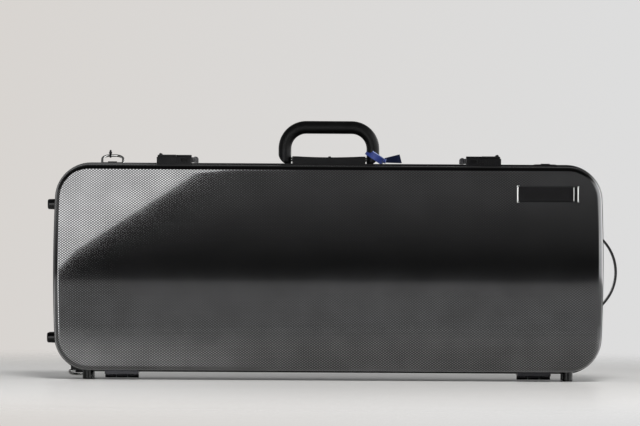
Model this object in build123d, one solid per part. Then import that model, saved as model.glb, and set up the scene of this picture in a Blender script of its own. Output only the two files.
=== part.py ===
from build123d import *
import os

# A hard case for two violins, standing on its spine as it does between uses.
# X runs along its length and Z up. The lid faces -Y, and the lid and base meet in the plane y = 0
# until the last step, which centres the whole case over the origin.

# Outline of the case in the plane where lid and base meet
LENGTH = 790.0
HEIGHT = 300.0
END_BOW = 5.0
CORNER = 49.0
FLOOR_GAP = 10.0

# Shells
LID_DEPTH = 70.0
BASE_DEPTH = 95.0
WALL = 3.0
EDGE_ROUND = 7.0

# Rims that clamp the shells' edges, and the seal between them
BASE_RIM_PROUD = 3.5
LID_RIM_STEP = 1.7
RIM_WIDTH = 10.0
RIM_WEB = 2.5
RIM_LIP = 2.0
SEAM_CLEARANCE = 0.3
SEAL_WIDTH = 2.5
SEAL_GROOVE = 1.5

# Padding
PAD_CLEARANCE = 0.3
PAD_TOP = 4.0
PAD_SOFT_EDGE = 3.0
LID_PAD = 10.0
LID_SIDE_PAD = 6.0
LID_PAD_ROUND = 12.0

# Spaces for the violins, drawn from the middle of the lower bout along the violin's axis
LOWER_BOUT_R = 107.0
UPPER_BOUT_R = 87.0
BOUT_SPACING = 172.0
WAIST_HALF = 64.0
NECK_HALF = 22.0
SCROLL_R = 26.0
SCROLL_REACH = 478.0
BODY_DEPTH = 72.0
NECK_DEPTH = 56.0
VIOLIN_TILT = 11.0
BOUT_END_PAD = 12.0
BOUT_DROP = 18.0
NECK_REST_START = 300.0
NECK_REST_LENGTH = 30.0
NECK_REST_HEIGHT = 26.0
NECK_GROOVE_R = 13.0
NECK_STRAP_START = 352.0
NECK_STRAP_WIDTH = 25.0
NECK_STRAP_HALF = 46.0
NECK_STRAP_THICK = 1.2

# Bow holders in the lid
BOW_ROWS = (85.0, 30.0, -30.0, -85.0)
BOW_CLIP_FROM_END = 95.0
BOW_CLIP_LENGTH = 30.0
BOW_CLIP_WIDTH = 40.0
BOW_CLIP_FOOT = 3.0
BOW_CHEEK_HEIGHT = 16.0
BOW_GAP = 14.0
BOW_PIN_R = 2.0
BOW_PIN_DEPTH = 8.0
BUTTON_WIDTH = 10.0
BUTTON_THICK = 4.0
BUTTON_OVERHANG = 2.0
POCKET_FROM_END = 29.0
POCKET_LENGTH = 48.0
POCKET_WIDTH = 30.0
POCKET_HEIGHT = 18.0
POCKET_WALL = 2.0
POCKET_ROUND = 6.0

# Fits and fasteners
TURNING_CLEARANCE = 0.05
FREE_CLEARANCE = 0.3
RIVET_R = 2.0
RIVET_HEAD_R = 3.6
RIVET_HEAD = 1.2
RIVET_CROWN = 0.7
CUT_PAST = 1.0

# Hinges along the spine
HINGE_FROM_END = 100.0
HINGE_LENGTH = 48.0
KNUCKLE_R = 3.9
HINGE_PIN_R = 1.6
HINGE_AXIS_DROP = 4.6
LID_KNUCKLE_HALF = 8.0
LEAF_REACH = 34.0
LEAF_DROP = 2.6
HINGE_RIVET_Y = 24.0
HINGE_RIVET_X = 16.0

# Latches along the top
LATCH_FROM_END = 178.0
LATCH_LENGTH = 59.0
LATCH_REAR = 40.0
KEEPER_FRONT = 26.0
KEEPER_HEIGHT = 11.7
KEEPER_FRONT_WALL = 4.0
HASP_START = 3.3
HASP_END = 27.7
HASP_THICK = 3.0
HASP_NOSE_Y = 18.0
HASP_NOSE_THICK = 7.0
HASP_NOSE_DEPTH = 7.0
HASP_OVERHANG = 6.5
HASP_CURL_R = 2.2
HASP_PIN_Y = 34.0
HASP_PIN_R = 1.5
HASP_BARREL_R = 3.6
HASP_PIN_BITE = 1.0
BLOCK_START = 28.0
BLOCK_END = 49.0
TAB_START = 53.0
TAB_WIDTH = 18.0
TAB_HEIGHT = 9.0
TAB_ROUND = 4.0
STEM_START = 41.0
STEM_WIDTH = 10.0
STEM_HEIGHT = 7.6
STEM_BORE_START = 31.0
SLIDE_Y = 25.0
SPRING_LENGTH = 6.0
SPRING_R = 2.6
SPRING_BORE_R = 1.8
LATCH_RIVET_Y = 18.0
LATCH_RIVETS = (9.0, 22.0)

# Carrying handle
HANDLE_Y = 26.0
HANDLE_LENGTH = 145.0
HANDLE_TOP = 61.4
GRIP_R = 9.2
GRIP_BEND = 30.8
HANDLE_PIN_Z = 9.5
HANDLE_PIN_R = 3.0
HANDLE_PIN_BITE = 14.0
HANDLE_PIN_REACH = 12.0
EYE_R = 9.0
EYE_DROP = 8.0
EYE_ROUND = 18.0
EYE_EASE = 0.3
CORE_R = 3.0
CORE_START = 6.0
SADDLE_HEIGHT = 14.0
SADDLE_WIDTH = 28.0
SADDLE_DISH_HALF = 46.0
SADDLE_DISH = 1.3
SADDLE_EDGE = 1.6
SADDLE_SCREW_X = 35.0
SADDLE_SCREW_BITE = 8.0

# Ribbon tied round the handle's right leg
RIBBON_THICK = 0.9
RIBBON_WIDTH = 12.0
RIBBON_TILT = 28.0
RIBBON_RISE = 11.0
RIBBON_FLOOR = 2.2
RIBBON_TAIL_LENGTH = 41.7
RIBBON_OVER_GRIP = 1.5
RIBBON_TAIL_RISE = 7.3
RIBBON_TAIL_DROP = 4.0
RIBBON_TAIL_SLANT = 4.3
RIBBON_ROOT_RISE = 5.5
RIBBON_ROOT_DROP = 5.0

# D-rings for a shoulder strap, and their mounts
RING_WIRE_R = 1.75
RING_WIDTH = 30.0
RING_DEPTH = 24.0
RING_ROUND = 11.0
RING_ROOT = 3.5
RING_Y = 18.0
RING_BAR_HEIGHT = 2.4
RING_LOOP_HALF = 6.5
RING_LOOP_WALL = 1.1
RING_PLATE = 1.5
RING_PLATE_WIDTH = 24.0
TOP_RING_FROM_END = 84.0
TOP_RING_HALF = 27.0
LEFT_RING_TILT = 28.0
RIGHT_RING_TILT = 1.0
BOTTOM_RING_FROM_END = 39.0
BOTTOM_RING_HALF = 13.0
BOTTOM_RING_TILT = -14.0
TIE_WIDTH = 2.6
TIE_THICK = 1.2
TIE_TAIL = 5.0
TIE_HEAD = 2.1
TIE_X = -3.5

# Feet
SPINE_FOOT_FROM_END = 51.5
SPINE_FOOT_R = 7.5
LID_FOOT_Y = 18.0
BASE_FOOT_FROM_BACK = 33.0
FOOT_EDGE = 1.2
END_FOOT_STAND = 9.0
END_FOOT_R = 8.0
END_FOOT_TIP_R = 7.2
END_FOOT_FROM_TOP = 60.3
END_FOOT_FROM_SPINE = 48.0
END_FOOT_FROM_SEAM = 24.0
END_FOOT_ROUND = 2.5

# Strap handle on the right-hand end
GRAB_STAND = 21.5
GRAB_DROP = 4.0
GRAB_HALF = 51.5
GRAB_THICK = 4.0
GRAB_END_THICK = 1.5
GRAB_WIDTH = 25.0
GRAB_FROM_BACK = 45.0
GRAB_TAB = 22.0
GRAB_SCREW_PLACE = 13.2
GRAB_PLATE = 1.6
GRAB_PLATE_WIDTH = 29.0
GRAB_SCREW_R = 2.0
GRAB_SCREW_HEAD_R = 3.8
GRAB_SCREW_HEAD = 1.0

# Bare name plate on the lid
PLATE_FROM_END = 82.5
PLATE_DROP = 42.3
PLATE_LENGTH = 88.8
PLATE_HEIGHT = 24.0
PLATE_THICK = 1.5
PLATE_CORNER = 3.0
PLATE_BORDER = 2.0
PLATE_FIELD_DEPTH = 0.5

# Places that follow from the sizes above
SHELL_INSET = BASE_RIM_PROUD
SHELL_INNER = SHELL_INSET + WALL
RIM_INNER = SHELL_INNER + RIM_LIP
PAD_INSET = RIM_INNER + PAD_CLEARANCE
LID_SPACE_INSET = PAD_INSET + LID_SIDE_PAD
SHELL_EDGE_Y = SEAM_CLEARANCE + RIM_WEB
CASE_TOP = FLOOR_GAP + HEIGHT
CASE_MIDDLE = FLOOR_GAP + HEIGHT / 2
SHELL_TOP = CASE_TOP - SHELL_INSET
SHELL_BOTTOM = FLOOR_GAP + SHELL_INSET
LID_RIM_BOTTOM = FLOOR_GAP + LID_RIM_STEP
BASE_FLOOR_Y = BASE_DEPTH - WALL
LID_FLOOR_Y = WALL - LID_DEPTH
LID_PAD_Y = LID_FLOOR_Y + LID_PAD
INNER_ROUND = EDGE_ROUND - WALL
BOW_CLIP_X = LENGTH / 2 - BOW_CLIP_FROM_END
POCKET_END = LENGTH / 2 - POCKET_FROM_END
POCKET_START = POCKET_END - POCKET_LENGTH
HINGE_X = LENGTH / 2 - HINGE_FROM_END
HINGE_AXIS_Z = FLOOR_GAP - HINGE_AXIS_DROP
TOP_RING_X = LENGTH / 2 - TOP_RING_FROM_END
BOTTOM_RING_X = LENGTH / 2 - BOTTOM_RING_FROM_END
SPINE_FOOT_X = LENGTH / 2 - SPINE_FOOT_FROM_END
BASE_FOOT_Y = BASE_DEPTH - BASE_FOOT_FROM_BACK
END_FOOT_REACH = LENGTH / 2 + END_FOOT_STAND
END_FOOT_HEIGHTS = (CASE_TOP - END_FOOT_FROM_TOP, FLOOR_GAP + END_FOOT_FROM_SPINE)
END_FOOT_DEPTHS = (END_FOOT_FROM_SEAM, BASE_FOOT_Y)
GRAB_REACH = LENGTH / 2 + GRAB_STAND
GRAB_Z = CASE_MIDDLE - GRAB_DROP
GRAB_Y = BASE_DEPTH - GRAB_FROM_BACK
PLATE_X = LENGTH / 2 - PLATE_FROM_END
PLATE_Z = CASE_TOP - PLATE_DROP
LATCH_OUTER = LENGTH / 2 - LATCH_FROM_END + LATCH_LENGTH / 2
KEEPER_TOP = SHELL_TOP + KEEPER_HEIGHT
HASP_LOW = KEEPER_TOP + FREE_CLEARANCE
HASP_TOP = HASP_LOW + HASP_THICK
HASP_PIN_Z = HASP_TOP - HASP_BARREL_R
SLIDE_Z = CASE_TOP + TAB_HEIGHT / 2
HANDLE_PIN_HEIGHT = SHELL_TOP + HANDLE_PIN_Z
HANDLE_LEG_X = HANDLE_LENGTH / 2 - GRIP_R
SADDLE_HALF = HANDLE_LEG_X - GRIP_R - RIBBON_THICK - 2 * FREE_CLEARANCE
GRIP_LINE_Z = CASE_TOP + HANDLE_TOP - GRIP_R
GRIP_BREAK_Z = GRIP_LINE_Z - GRIP_BEND
LID_FRONT = LID_DEPTH + PLATE_THICK


def block(x0, x1, y0, y1, z0, z1):
    """A box between two corners."""
    box = Box(x1 - x0, y1 - y0, z1 - z0)
    return Pos((x0 + x1) / 2, (y0 + y1) / 2, (z0 + z1) / 2) * box


def upright(radius, length):
    """A cylinder that stands on the origin."""
    return Cylinder(radius, length, align=(Align.CENTER, Align.CENTER, Align.MIN))


def rod_x(radius, start, end, y, z):
    """A cylinder along X."""
    return Pos(start, y, z) * Rot(0, 90, 0) * upright(radius, end - start)


def rod_y(radius, start, end, x, z):
    """A cylinder along Y."""
    return Pos(x, start, z) * Rot(-90, 0, 0) * upright(radius, end - start)


def rod_z(radius, start, end, x, y):
    """A cylinder along Z."""
    return Pos(x, y, start) * upright(radius, end - start)


def mirrored(piece):
    """The same piece at the other end of the case."""
    return mirror(piece, about=Plane.YZ)


def outline(inset):
    """The case's outline drawn in by inset: straight spine and top, bowed ends, round corners."""
    half = LENGTH / 2 - END_BOW - inset
    reach = LENGTH / 2 - inset
    low = FLOOR_GAP + inset
    high = CASE_TOP - inset
    edges = [
        Line((-half, 0, low), (half, 0, low)),
        ThreePointArc((half, 0, low), (reach, 0, CASE_MIDDLE), (half, 0, high)),
        Line((half, 0, high), (-half, 0, high)),
        ThreePointArc((-half, 0, high), (-reach, 0, CASE_MIDDLE), (-half, 0, low)),
    ]
    face = Face(Wire(edges))
    return face.fillet_2d(CORNER - inset, face.vertices())


def slab(inset, start, end):
    """The outline as a plate between two depths."""
    return extrude(Pos(0, start, 0) * outline(inset), amount=end - start, dir=(0, 1, 0))


def ring(outer, inner, start, end):
    """A band that follows the outline."""
    return slab(outer, start, end) - slab(inner, start, end)


def tray(inset, near, far, edge_round):
    """The outline from the seam side to an outer face whose edges are rounded."""
    plate = slab(inset, min(near, far), max(near, far))
    last = -1 if far > near else 0
    return fillet(plate.edges().group_by(Axis.Y)[last], edge_round)


def base_body():
    """The base's outer form, which the fittings on it are cut to."""
    return tray(SHELL_INSET, SHELL_EDGE_Y, BASE_DEPTH, EDGE_ROUND)


def lid_body():
    """The lid's outer form, which the fittings on it are cut to."""
    return tray(SHELL_INSET, -SHELL_EDGE_Y, -LID_DEPTH, EDGE_ROUND)


def base_hollow():
    """The space inside the base shell."""
    return tray(SHELL_INNER, SEAM_CLEARANCE, BASE_FLOOR_Y, INNER_ROUND)


def lid_hollow():
    """The space inside the lid shell."""
    return tray(SHELL_INNER, -SEAM_CLEARANCE, LID_FLOOR_Y, INNER_ROUND)


def rim(outer, side):
    """A channel that takes the edge of a shell, on the lid's side (-1) or the base's (1)."""
    face = side * SEAM_CLEARANCE
    edge = side * SHELL_EDGE_Y
    back = side * RIM_WIDTH
    channel = ring(outer, RIM_INNER, min(face, back), max(face, back))
    return channel - ring(SHELL_INSET, SHELL_INNER, min(edge, back), max(edge, back))


def seal_ring(start):
    """The seal's band, from its groove's floor to a start depth."""
    middle = (SHELL_INSET + RIM_INNER) / 2
    return ring(middle - SEAL_WIDTH / 2, middle + SEAL_WIDTH / 2, start, SEAM_CLEARANCE + SEAL_GROOVE)


def along_violin(piece, end):
    """Puts a piece drawn along a violin's axis into the left (-1) or right (1) place."""
    start = PAD_INSET + BOUT_END_PAD + LOWER_BOUT_R
    placed = Pos(start - LENGTH / 2, 0, -BOUT_DROP) * Rot(0, VIOLIN_TILT, 0) * piece
    turned = placed if end < 0 else Rot(0, 180, 0) * placed
    return Pos(0, 0, CASE_MIDDLE) * turned


def violin_space():
    """The hollow for one violin: two bouts, a waist, a neck and a scroll."""
    floor = PAD_TOP + BODY_DEPTH
    neck_floor = PAD_TOP + NECK_DEPTH
    space = rod_y(LOWER_BOUT_R, 0, floor, 0, 0)
    space += rod_y(UPPER_BOUT_R, 0, floor, BOUT_SPACING, 0)
    space += block(0, BOUT_SPACING, 0, floor, -WAIST_HALF, WAIST_HALF)
    space += block(BOUT_SPACING, SCROLL_REACH, 0, neck_floor, -NECK_HALF, NECK_HALF)
    space += rod_y(SCROLL_R, 0, neck_floor, SCROLL_REACH, 0)
    return space


def base_pad():
    """Foam that fills the base, with a hollow for each violin, head to tail."""
    foam = tray(PAD_INSET, PAD_TOP, BASE_FLOOR_Y, INNER_ROUND)
    foam = fillet(foam.edges().group_by(Axis.Y)[0], PAD_SOFT_EDGE)
    for end in (-1, 1):
        foam -= along_violin(violin_space(), end)
    return foam


def lid_pad():
    """Foam tray that lines the lid."""
    foam = tray(PAD_INSET, -PAD_TOP, LID_FLOOR_Y, INNER_ROUND)
    return foam - tray(LID_SPACE_INSET, 0, LID_PAD_Y, LID_PAD_ROUND)


def neck_rest():
    """A grooved block across the neck hollow."""
    floor = PAD_TOP + NECK_DEPTH
    half = NECK_HALF - FREE_CLEARANCE
    end = NECK_REST_START + NECK_REST_LENGTH
    top = floor - NECK_REST_HEIGHT
    rest = block(NECK_REST_START, end, top, floor, -half, half)
    return rest - rod_x(NECK_GROOVE_R, NECK_REST_START - CUT_PAST, end + CUT_PAST, top, 0)


def neck_strap():
    """A flat strap across the neck hollow, lying on the foam."""
    end = NECK_STRAP_START + NECK_STRAP_WIDTH
    top = PAD_TOP - NECK_STRAP_THICK
    return block(NECK_STRAP_START, end, top, PAD_TOP, -NECK_STRAP_HALF, NECK_STRAP_HALF)


def bow_end(row):
    """Bows lie head to tail, so the frogs change ends from row to row."""
    return -1 if row % 2 == 0 else 1


def button_pin(row):
    """Where the turn button of a row pivots, as x and z."""
    cheek = (BOW_CLIP_WIDTH / 2 + BOW_GAP / 2) / 2
    return bow_end(row) * BOW_CLIP_X, CASE_MIDDLE + BOW_ROWS[row] - cheek


def bow_clip(row):
    """A foot with two cheeks that a bow's stick lies between."""
    x = bow_end(row) * BOW_CLIP_X
    z = CASE_MIDDLE + BOW_ROWS[row]
    foot_y = LID_PAD_Y + BOW_CLIP_FOOT
    top_y = foot_y + BOW_CHEEK_HEIGHT
    half = BOW_CLIP_LENGTH / 2
    low, high = z - BOW_CLIP_WIDTH / 2, z + BOW_CLIP_WIDTH / 2
    clip = block(x - half, x + half, LID_PAD_Y, top_y, low, high)
    clip -= block(x - half, x + half, foot_y, top_y, z - BOW_GAP / 2, z + BOW_GAP / 2)
    pin_x, pin_z = button_pin(row)
    bore = BOW_PIN_R + TURNING_CLEARANCE
    return clip - rod_y(bore, top_y - BOW_PIN_DEPTH - FREE_CLEARANCE, top_y, pin_x, pin_z)


def bow_button(row):
    """A bar that turns over the gap of a bow clip and keeps the stick in."""
    x, pin_z = button_pin(row)
    z = CASE_MIDDLE + BOW_ROWS[row]
    top_y = LID_PAD_Y + BOW_CLIP_FOOT + BOW_CHEEK_HEIGHT
    low = top_y + FREE_CLEARANCE
    end = z + BOW_CLIP_WIDTH / 2 - BUTTON_OVERHANG
    bar = block(x - BUTTON_WIDTH / 2, x + BUTTON_WIDTH / 2, low, low + BUTTON_THICK, pin_z, end)
    bar += rod_y(BUTTON_WIDTH / 2, low, low + BUTTON_THICK, x, pin_z)
    return bar + rod_y(BOW_PIN_R, top_y - BOW_PIN_DEPTH, low, x, pin_z)


def bow_pocket(row):
    """A sleeve for a bow's tip, open towards the middle of the lid."""
    end = -bow_end(row)
    z = CASE_MIDDLE + BOW_ROWS[row]
    half = POCKET_WIDTH / 2
    top_y = LID_PAD_Y + POCKET_HEIGHT
    sleeve = block(POCKET_START, POCKET_END, LID_PAD_Y, top_y, z - half, z + half)
    rounded = sleeve.edges().filter_by(Axis.X).group_by(Axis.Y)[-1]
    sleeve = fillet(rounded, POCKET_ROUND)
    inside = half - POCKET_WALL
    hollow = block(
        POCKET_START - CUT_PAST,
        POCKET_END - POCKET_WALL,
        LID_PAD_Y + POCKET_WALL,
        top_y - POCKET_WALL,
        z - inside,
        z + inside,
    )
    hollow = fillet(hollow.edges().filter_by(Axis.X).group_by(Axis.Y)[-1], POCKET_ROUND - POCKET_WALL)
    sleeve -= hollow
    return sleeve if end > 0 else mirrored(sleeve)


def rivet(x, y, outer, inner):
    """A rivet along Z, with its round head on the outer side."""
    away = -1 if inner > outer else 1
    head_end = outer + away * RIVET_HEAD
    shank = rod_z(RIVET_R, min(outer, inner), max(outer, inner), x, y)
    head = rod_z(RIVET_HEAD_R, min(outer, head_end), max(outer, head_end), x, y)
    crown = head.edges().group_by(Axis.Z)[-1 if away > 0 else 0]
    return fillet(crown, RIVET_CROWN) + shank


def hinge_rivet_places(side):
    """Rivets of both hinges on the lid's side (-1) or the base's (1)."""
    return [
        (end * HINGE_X + step * HINGE_RIVET_X, side * HINGE_RIVET_Y)
        for end in (-1, 1)
        for step in (-1, 1)
    ]


def hinge_rivets(side):
    """Rivets through the hinge leaves and the shell, as far as the shell's inner face."""
    leaf = FLOOR_GAP - LEAF_DROP
    places = hinge_rivet_places(side)
    return Compound([rivet(x, y, leaf, SHELL_BOTTOM + WALL) for x, y in places])


def hinge_leaf(side, rim_bottom):
    """One leaf of the right-hand hinge, packed out to the shell behind the rim."""
    low = FLOOR_GAP - LEAF_DROP
    left, right = HINGE_X - HINGE_LENGTH / 2, HINGE_X + HINGE_LENGTH / 2
    near, back = side * SEAM_CLEARANCE, side * LEAF_REACH
    pad = side * (RIM_WIDTH + FREE_CLEARANCE)
    leaf = block(left, right, min(near, back), max(near, back), low, rim_bottom)
    leaf += block(left, right, min(pad, back), max(pad, back), rim_bottom, SHELL_BOTTOM)
    middle = LID_KNUCKLE_HALF
    inner, outer = HINGE_X - middle, HINGE_X + middle
    gap = FREE_CLEARANCE
    room = KNUCKLE_R + 2 * FREE_CLEARANCE
    own = [(left, inner - gap), (outer + gap, right)] if side > 0 else [(inner, outer)]
    other = [(inner - gap, outer + gap)] if side > 0 else [(left, inner), (outer, right)]
    for start, end in other:
        leaf -= block(start, end, -room, room, 0, rim_bottom)
    bore = HINGE_PIN_R if side > 0 else HINGE_PIN_R + TURNING_CLEARANCE
    for start, end in own:
        leaf += rod_x(KNUCKLE_R, start, end, 0, HINGE_AXIS_Z)
        leaf -= rod_x(bore, start, end, 0, HINGE_AXIS_Z)
    for x, y in hinge_rivet_places(side):
        leaf -= rod_z(RIVET_R, low, SHELL_BOTTOM, x, y)
    return leaf


def hinge_pin():
    """The pin of the right-hand hinge."""
    half = HINGE_LENGTH / 2
    return rod_x(HINGE_PIN_R, HINGE_X - half, HINGE_X + half, 0, HINGE_AXIS_Z)


def latch_u(u):
    """X of a place on the right-hand latch, counted from its outer end."""
    return LATCH_OUTER - u


def latch_block(u0, u1, y0, y1, z0, z1):
    """A box on the right-hand latch."""
    return block(latch_u(u1), latch_u(u0), y0, y1, z0, z1)


def latch_housing():
    """Foot, outer ear and slide housing of the right-hand latch, on the base."""
    front = RIM_WIDTH + FREE_CLEARANCE
    ear_front = HASP_PIN_Y - HASP_BARREL_R
    ear_inner = HASP_START - FREE_CLEARANCE
    body = latch_block(0, BLOCK_END, front, LATCH_REAR, SHELL_TOP, CASE_TOP)
    body += latch_block(0, ear_inner, ear_front, LATCH_REAR, CASE_TOP, HASP_TOP)
    body += latch_block(BLOCK_START, BLOCK_END, front, LATCH_REAR, CASE_TOP, HASP_TOP)
    bore_half = STEM_WIDTH / 2 + FREE_CLEARANCE
    bore_rise = STEM_HEIGHT / 2 + FREE_CLEARANCE
    body -= latch_block(
        STEM_BORE_START,
        BLOCK_END,
        SLIDE_Y - bore_half,
        SLIDE_Y + bore_half,
        SLIDE_Z - bore_rise,
        SLIDE_Z + bore_rise,
    )
    body -= hasp_pin()
    for x, y in latch_rivet_places(1):
        body -= rod_z(RIVET_R, SHELL_TOP, CASE_TOP, x, y)
    return body


def hasp_pin():
    """The pin that the hasp turns on, held in the outer ear and the slide housing."""
    return rod_x(HASP_PIN_R, latch_u(STEM_BORE_START - HASP_PIN_BITE), latch_u(0), HASP_PIN_Y, HASP_PIN_Z)


def hasp():
    """A plate over the seam, hinged at the back, with a nose that drops into the keeper."""
    nose_back = -HASP_NOSE_Y + HASP_NOSE_THICK / 2
    nose_front = nose_back - HASP_NOSE_THICK
    nose_low = HASP_LOW - HASP_NOSE_DEPTH
    start, end = latch_u(HASP_END), latch_u(HASP_START)
    front = nose_front + FREE_CLEARANCE - HASP_OVERHANG
    plate = latch_block(HASP_START, HASP_END, front, HASP_PIN_Y, HASP_LOW, HASP_TOP)
    plate += rod_x(HASP_BARREL_R, start, end, HASP_PIN_Y, HASP_PIN_Z)
    plate += latch_block(HASP_START, HASP_END, nose_front, nose_back, nose_low, HASP_LOW)
    curl_x = latch_u(HASP_START + HASP_CURL_R)
    plate += rod_y(HASP_CURL_R, front, HASP_PIN_Y - HASP_BARREL_R, curl_x, HASP_TOP)
    return plate - rod_x(HASP_PIN_R + TURNING_CLEARANCE, start, end, HASP_PIN_Y, HASP_PIN_Z)


def keeper():
    """The right-hand keeper on the lid, open at the top and towards the seam."""
    back = -RIM_WIDTH - FREE_CLEARANCE
    front = -KEEPER_FRONT
    body = latch_block(0, BLOCK_END, front, back, SHELL_TOP, KEEPER_TOP)
    floor = HASP_LOW - HASP_NOSE_DEPTH - 2 * FREE_CLEARANCE - RIVET_HEAD
    channel = latch_block(
        HASP_START - FREE_CLEARANCE,
        HASP_END + FREE_CLEARANCE,
        front + KEEPER_FRONT_WALL,
        back,
        floor,
        KEEPER_TOP,
    )
    body -= channel
    for x, y in latch_rivet_places(-1):
        body -= rod_z(RIVET_R, SHELL_TOP, floor, x, y)
    return body


def latch_rivet_places(side):
    """Rivets of the right-hand latch on the lid's side (-1) or the base's (1)."""
    return [(latch_u(u), side * LATCH_RIVET_Y) for u in LATCH_RIVETS]


def slide():
    """The thumb slide of the right-hand latch: a rounded tab on a square stem."""
    half = TAB_WIDTH / 2
    low = SLIDE_Z - TAB_HEIGHT / 2 + FREE_CLEARANCE
    high = low + TAB_HEIGHT
    tab = latch_block(TAB_START, LATCH_LENGTH, SLIDE_Y - half, SLIDE_Y + half, low, high)
    rounded = tab.edges().filter_by(Axis.Y).group_by(Axis.X)[0].group_by(Axis.Z)[-1]
    tab = fillet(rounded, TAB_ROUND)
    return tab + latch_block(
        STEM_START,
        TAB_START,
        SLIDE_Y - STEM_WIDTH / 2,
        SLIDE_Y + STEM_WIDTH / 2,
        SLIDE_Z - STEM_HEIGHT / 2,
        SLIDE_Z + STEM_HEIGHT / 2,
    )


def slide_spring():
    """The slide's return spring, as the sleeve that its closed coils fill."""
    start, end = latch_u(STEM_BORE_START + SPRING_LENGTH), latch_u(STEM_BORE_START)
    sleeve = rod_x(SPRING_R, start, end, SLIDE_Y, SLIDE_Z)
    return sleeve - rod_x(SPRING_BORE_R, start, end, SLIDE_Y, SLIDE_Z)


def bail(start_z):
    """The line of the handle, from one leg over the top to the other."""
    x = HANDLE_LEG_X
    points = [(-x, HANDLE_Y, start_z), (-x, HANDLE_Y, GRIP_LINE_Z)]
    points += [(x, HANDLE_Y, GRIP_LINE_Z), (x, HANDLE_Y, start_z)]
    return FilletPolyline(*points, radius=GRIP_BEND)


def swept(path, radius):
    """A round bar along a path."""
    return sweep(Plane(origin=path @ 0, z_dir=path % 0) * Circle(radius), path=path)


def handle_core():
    """The steel bail inside the grip."""
    return swept(bail(HANDLE_PIN_HEIGHT + CORE_START), CORE_R)


def handle_grip():
    """The soft grip moulded over the bail."""
    line = FilletPolyline(
        (-HANDLE_LEG_X, HANDLE_Y, GRIP_BREAK_Z - FREE_CLEARANCE),
        (-HANDLE_LEG_X, HANDLE_Y, GRIP_LINE_Z),
        (HANDLE_LEG_X, HANDLE_Y, GRIP_LINE_Z),
        (HANDLE_LEG_X, HANDLE_Y, GRIP_BREAK_Z - FREE_CLEARANCE),
        radius=GRIP_BEND,
    )
    return swept(line, GRIP_R) - handle_core()


def handle_eye(side):
    """The hard lower leg of the handle: round about its pin, and bent in at its outer corner."""
    x = side * HANDLE_LEG_X
    low = HANDLE_PIN_HEIGHT - EYE_DROP
    past = GRIP_R + CUT_PAST
    front, back = HANDLE_Y - past, HANDLE_Y + past
    eye = rod_z(GRIP_R, low, GRIP_BREAK_Z - FREE_CLEARANCE, x, HANDLE_Y)
    heel = block(x - past, x + past, front, back, low - CUT_PAST, HANDLE_PIN_HEIGHT)
    eye -= heel - rod_x(EYE_R, x - past, x + past, HANDLE_Y, HANDLE_PIN_HEIGHT)
    bend_x = x + side * (GRIP_R + EYE_EASE - EYE_ROUND)
    edge_x = x + side * past
    corner = block(min(bend_x, edge_x), max(bend_x, edge_x), front, back, low - CUT_PAST, low + EYE_ROUND)
    eye -= corner - rod_y(EYE_ROUND, front, back, bend_x, low + EYE_ROUND)
    inner = SADDLE_HALF
    outer = inner + HANDLE_PIN_REACH + FREE_CLEARANCE
    start, end = (inner, outer) if side > 0 else (-outer, -inner)
    bore = HANDLE_PIN_R + TURNING_CLEARANCE
    return eye - rod_x(bore, start, end, HANDLE_Y, HANDLE_PIN_HEIGHT) - handle_core()


def handle_pin(side):
    """A pin pressed into the saddle that a leg turns on."""
    inner = SADDLE_HALF - HANDLE_PIN_BITE
    outer = SADDLE_HALF + HANDLE_PIN_REACH
    start, end = (inner, outer) if side > 0 else (-outer, -inner)
    return rod_x(HANDLE_PIN_R, start, end, HANDLE_Y, HANDLE_PIN_HEIGHT)


def saddle_screw(x):
    """A screw from inside the base up into the saddle."""
    inner = SHELL_TOP - WALL
    shank = rod_z(RIVET_R, inner, SHELL_TOP + SADDLE_SCREW_BITE, x, HANDLE_Y)
    return shank + rod_z(RIVET_HEAD_R, inner - RIVET_HEAD, inner, x, HANDLE_Y)


def handle_saddle():
    """The block between the handle's legs, slightly dished on top."""
    front, back = HANDLE_Y - SADDLE_WIDTH / 2, HANDLE_Y + SADDLE_WIDTH / 2
    top = SHELL_TOP + SADDLE_HEIGHT
    dish, half = SADDLE_DISH_HALF, SADDLE_HALF
    edges = [
        Line((-half, front, SHELL_TOP), (half, front, SHELL_TOP)),
        Line((half, front, SHELL_TOP), (half, front, top)),
        Line((half, front, top), (dish, front, top)),
        ThreePointArc((dish, front, top), (0, front, top - SADDLE_DISH), (-dish, front, top)),
        Line((-dish, front, top), (-half, front, top)),
        Line((-half, front, top), (-half, front, SHELL_TOP)),
    ]
    saddle = extrude(Face(Wire(edges)), amount=SADDLE_WIDTH, dir=(0, 1, 0))
    rim_edges = [e for e in saddle.edges() if e.center().Z > top - 2 * SADDLE_DISH]
    long_edges = [e for e in rim_edges if abs(e.center().Y - HANDLE_Y) > SADDLE_WIDTH / 4]
    saddle = fillet(long_edges, SADDLE_EDGE)
    for side in (-1, 1):
        saddle -= handle_pin(side)
        saddle -= saddle_screw(side * SADDLE_SCREW_X)
    return saddle


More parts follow.
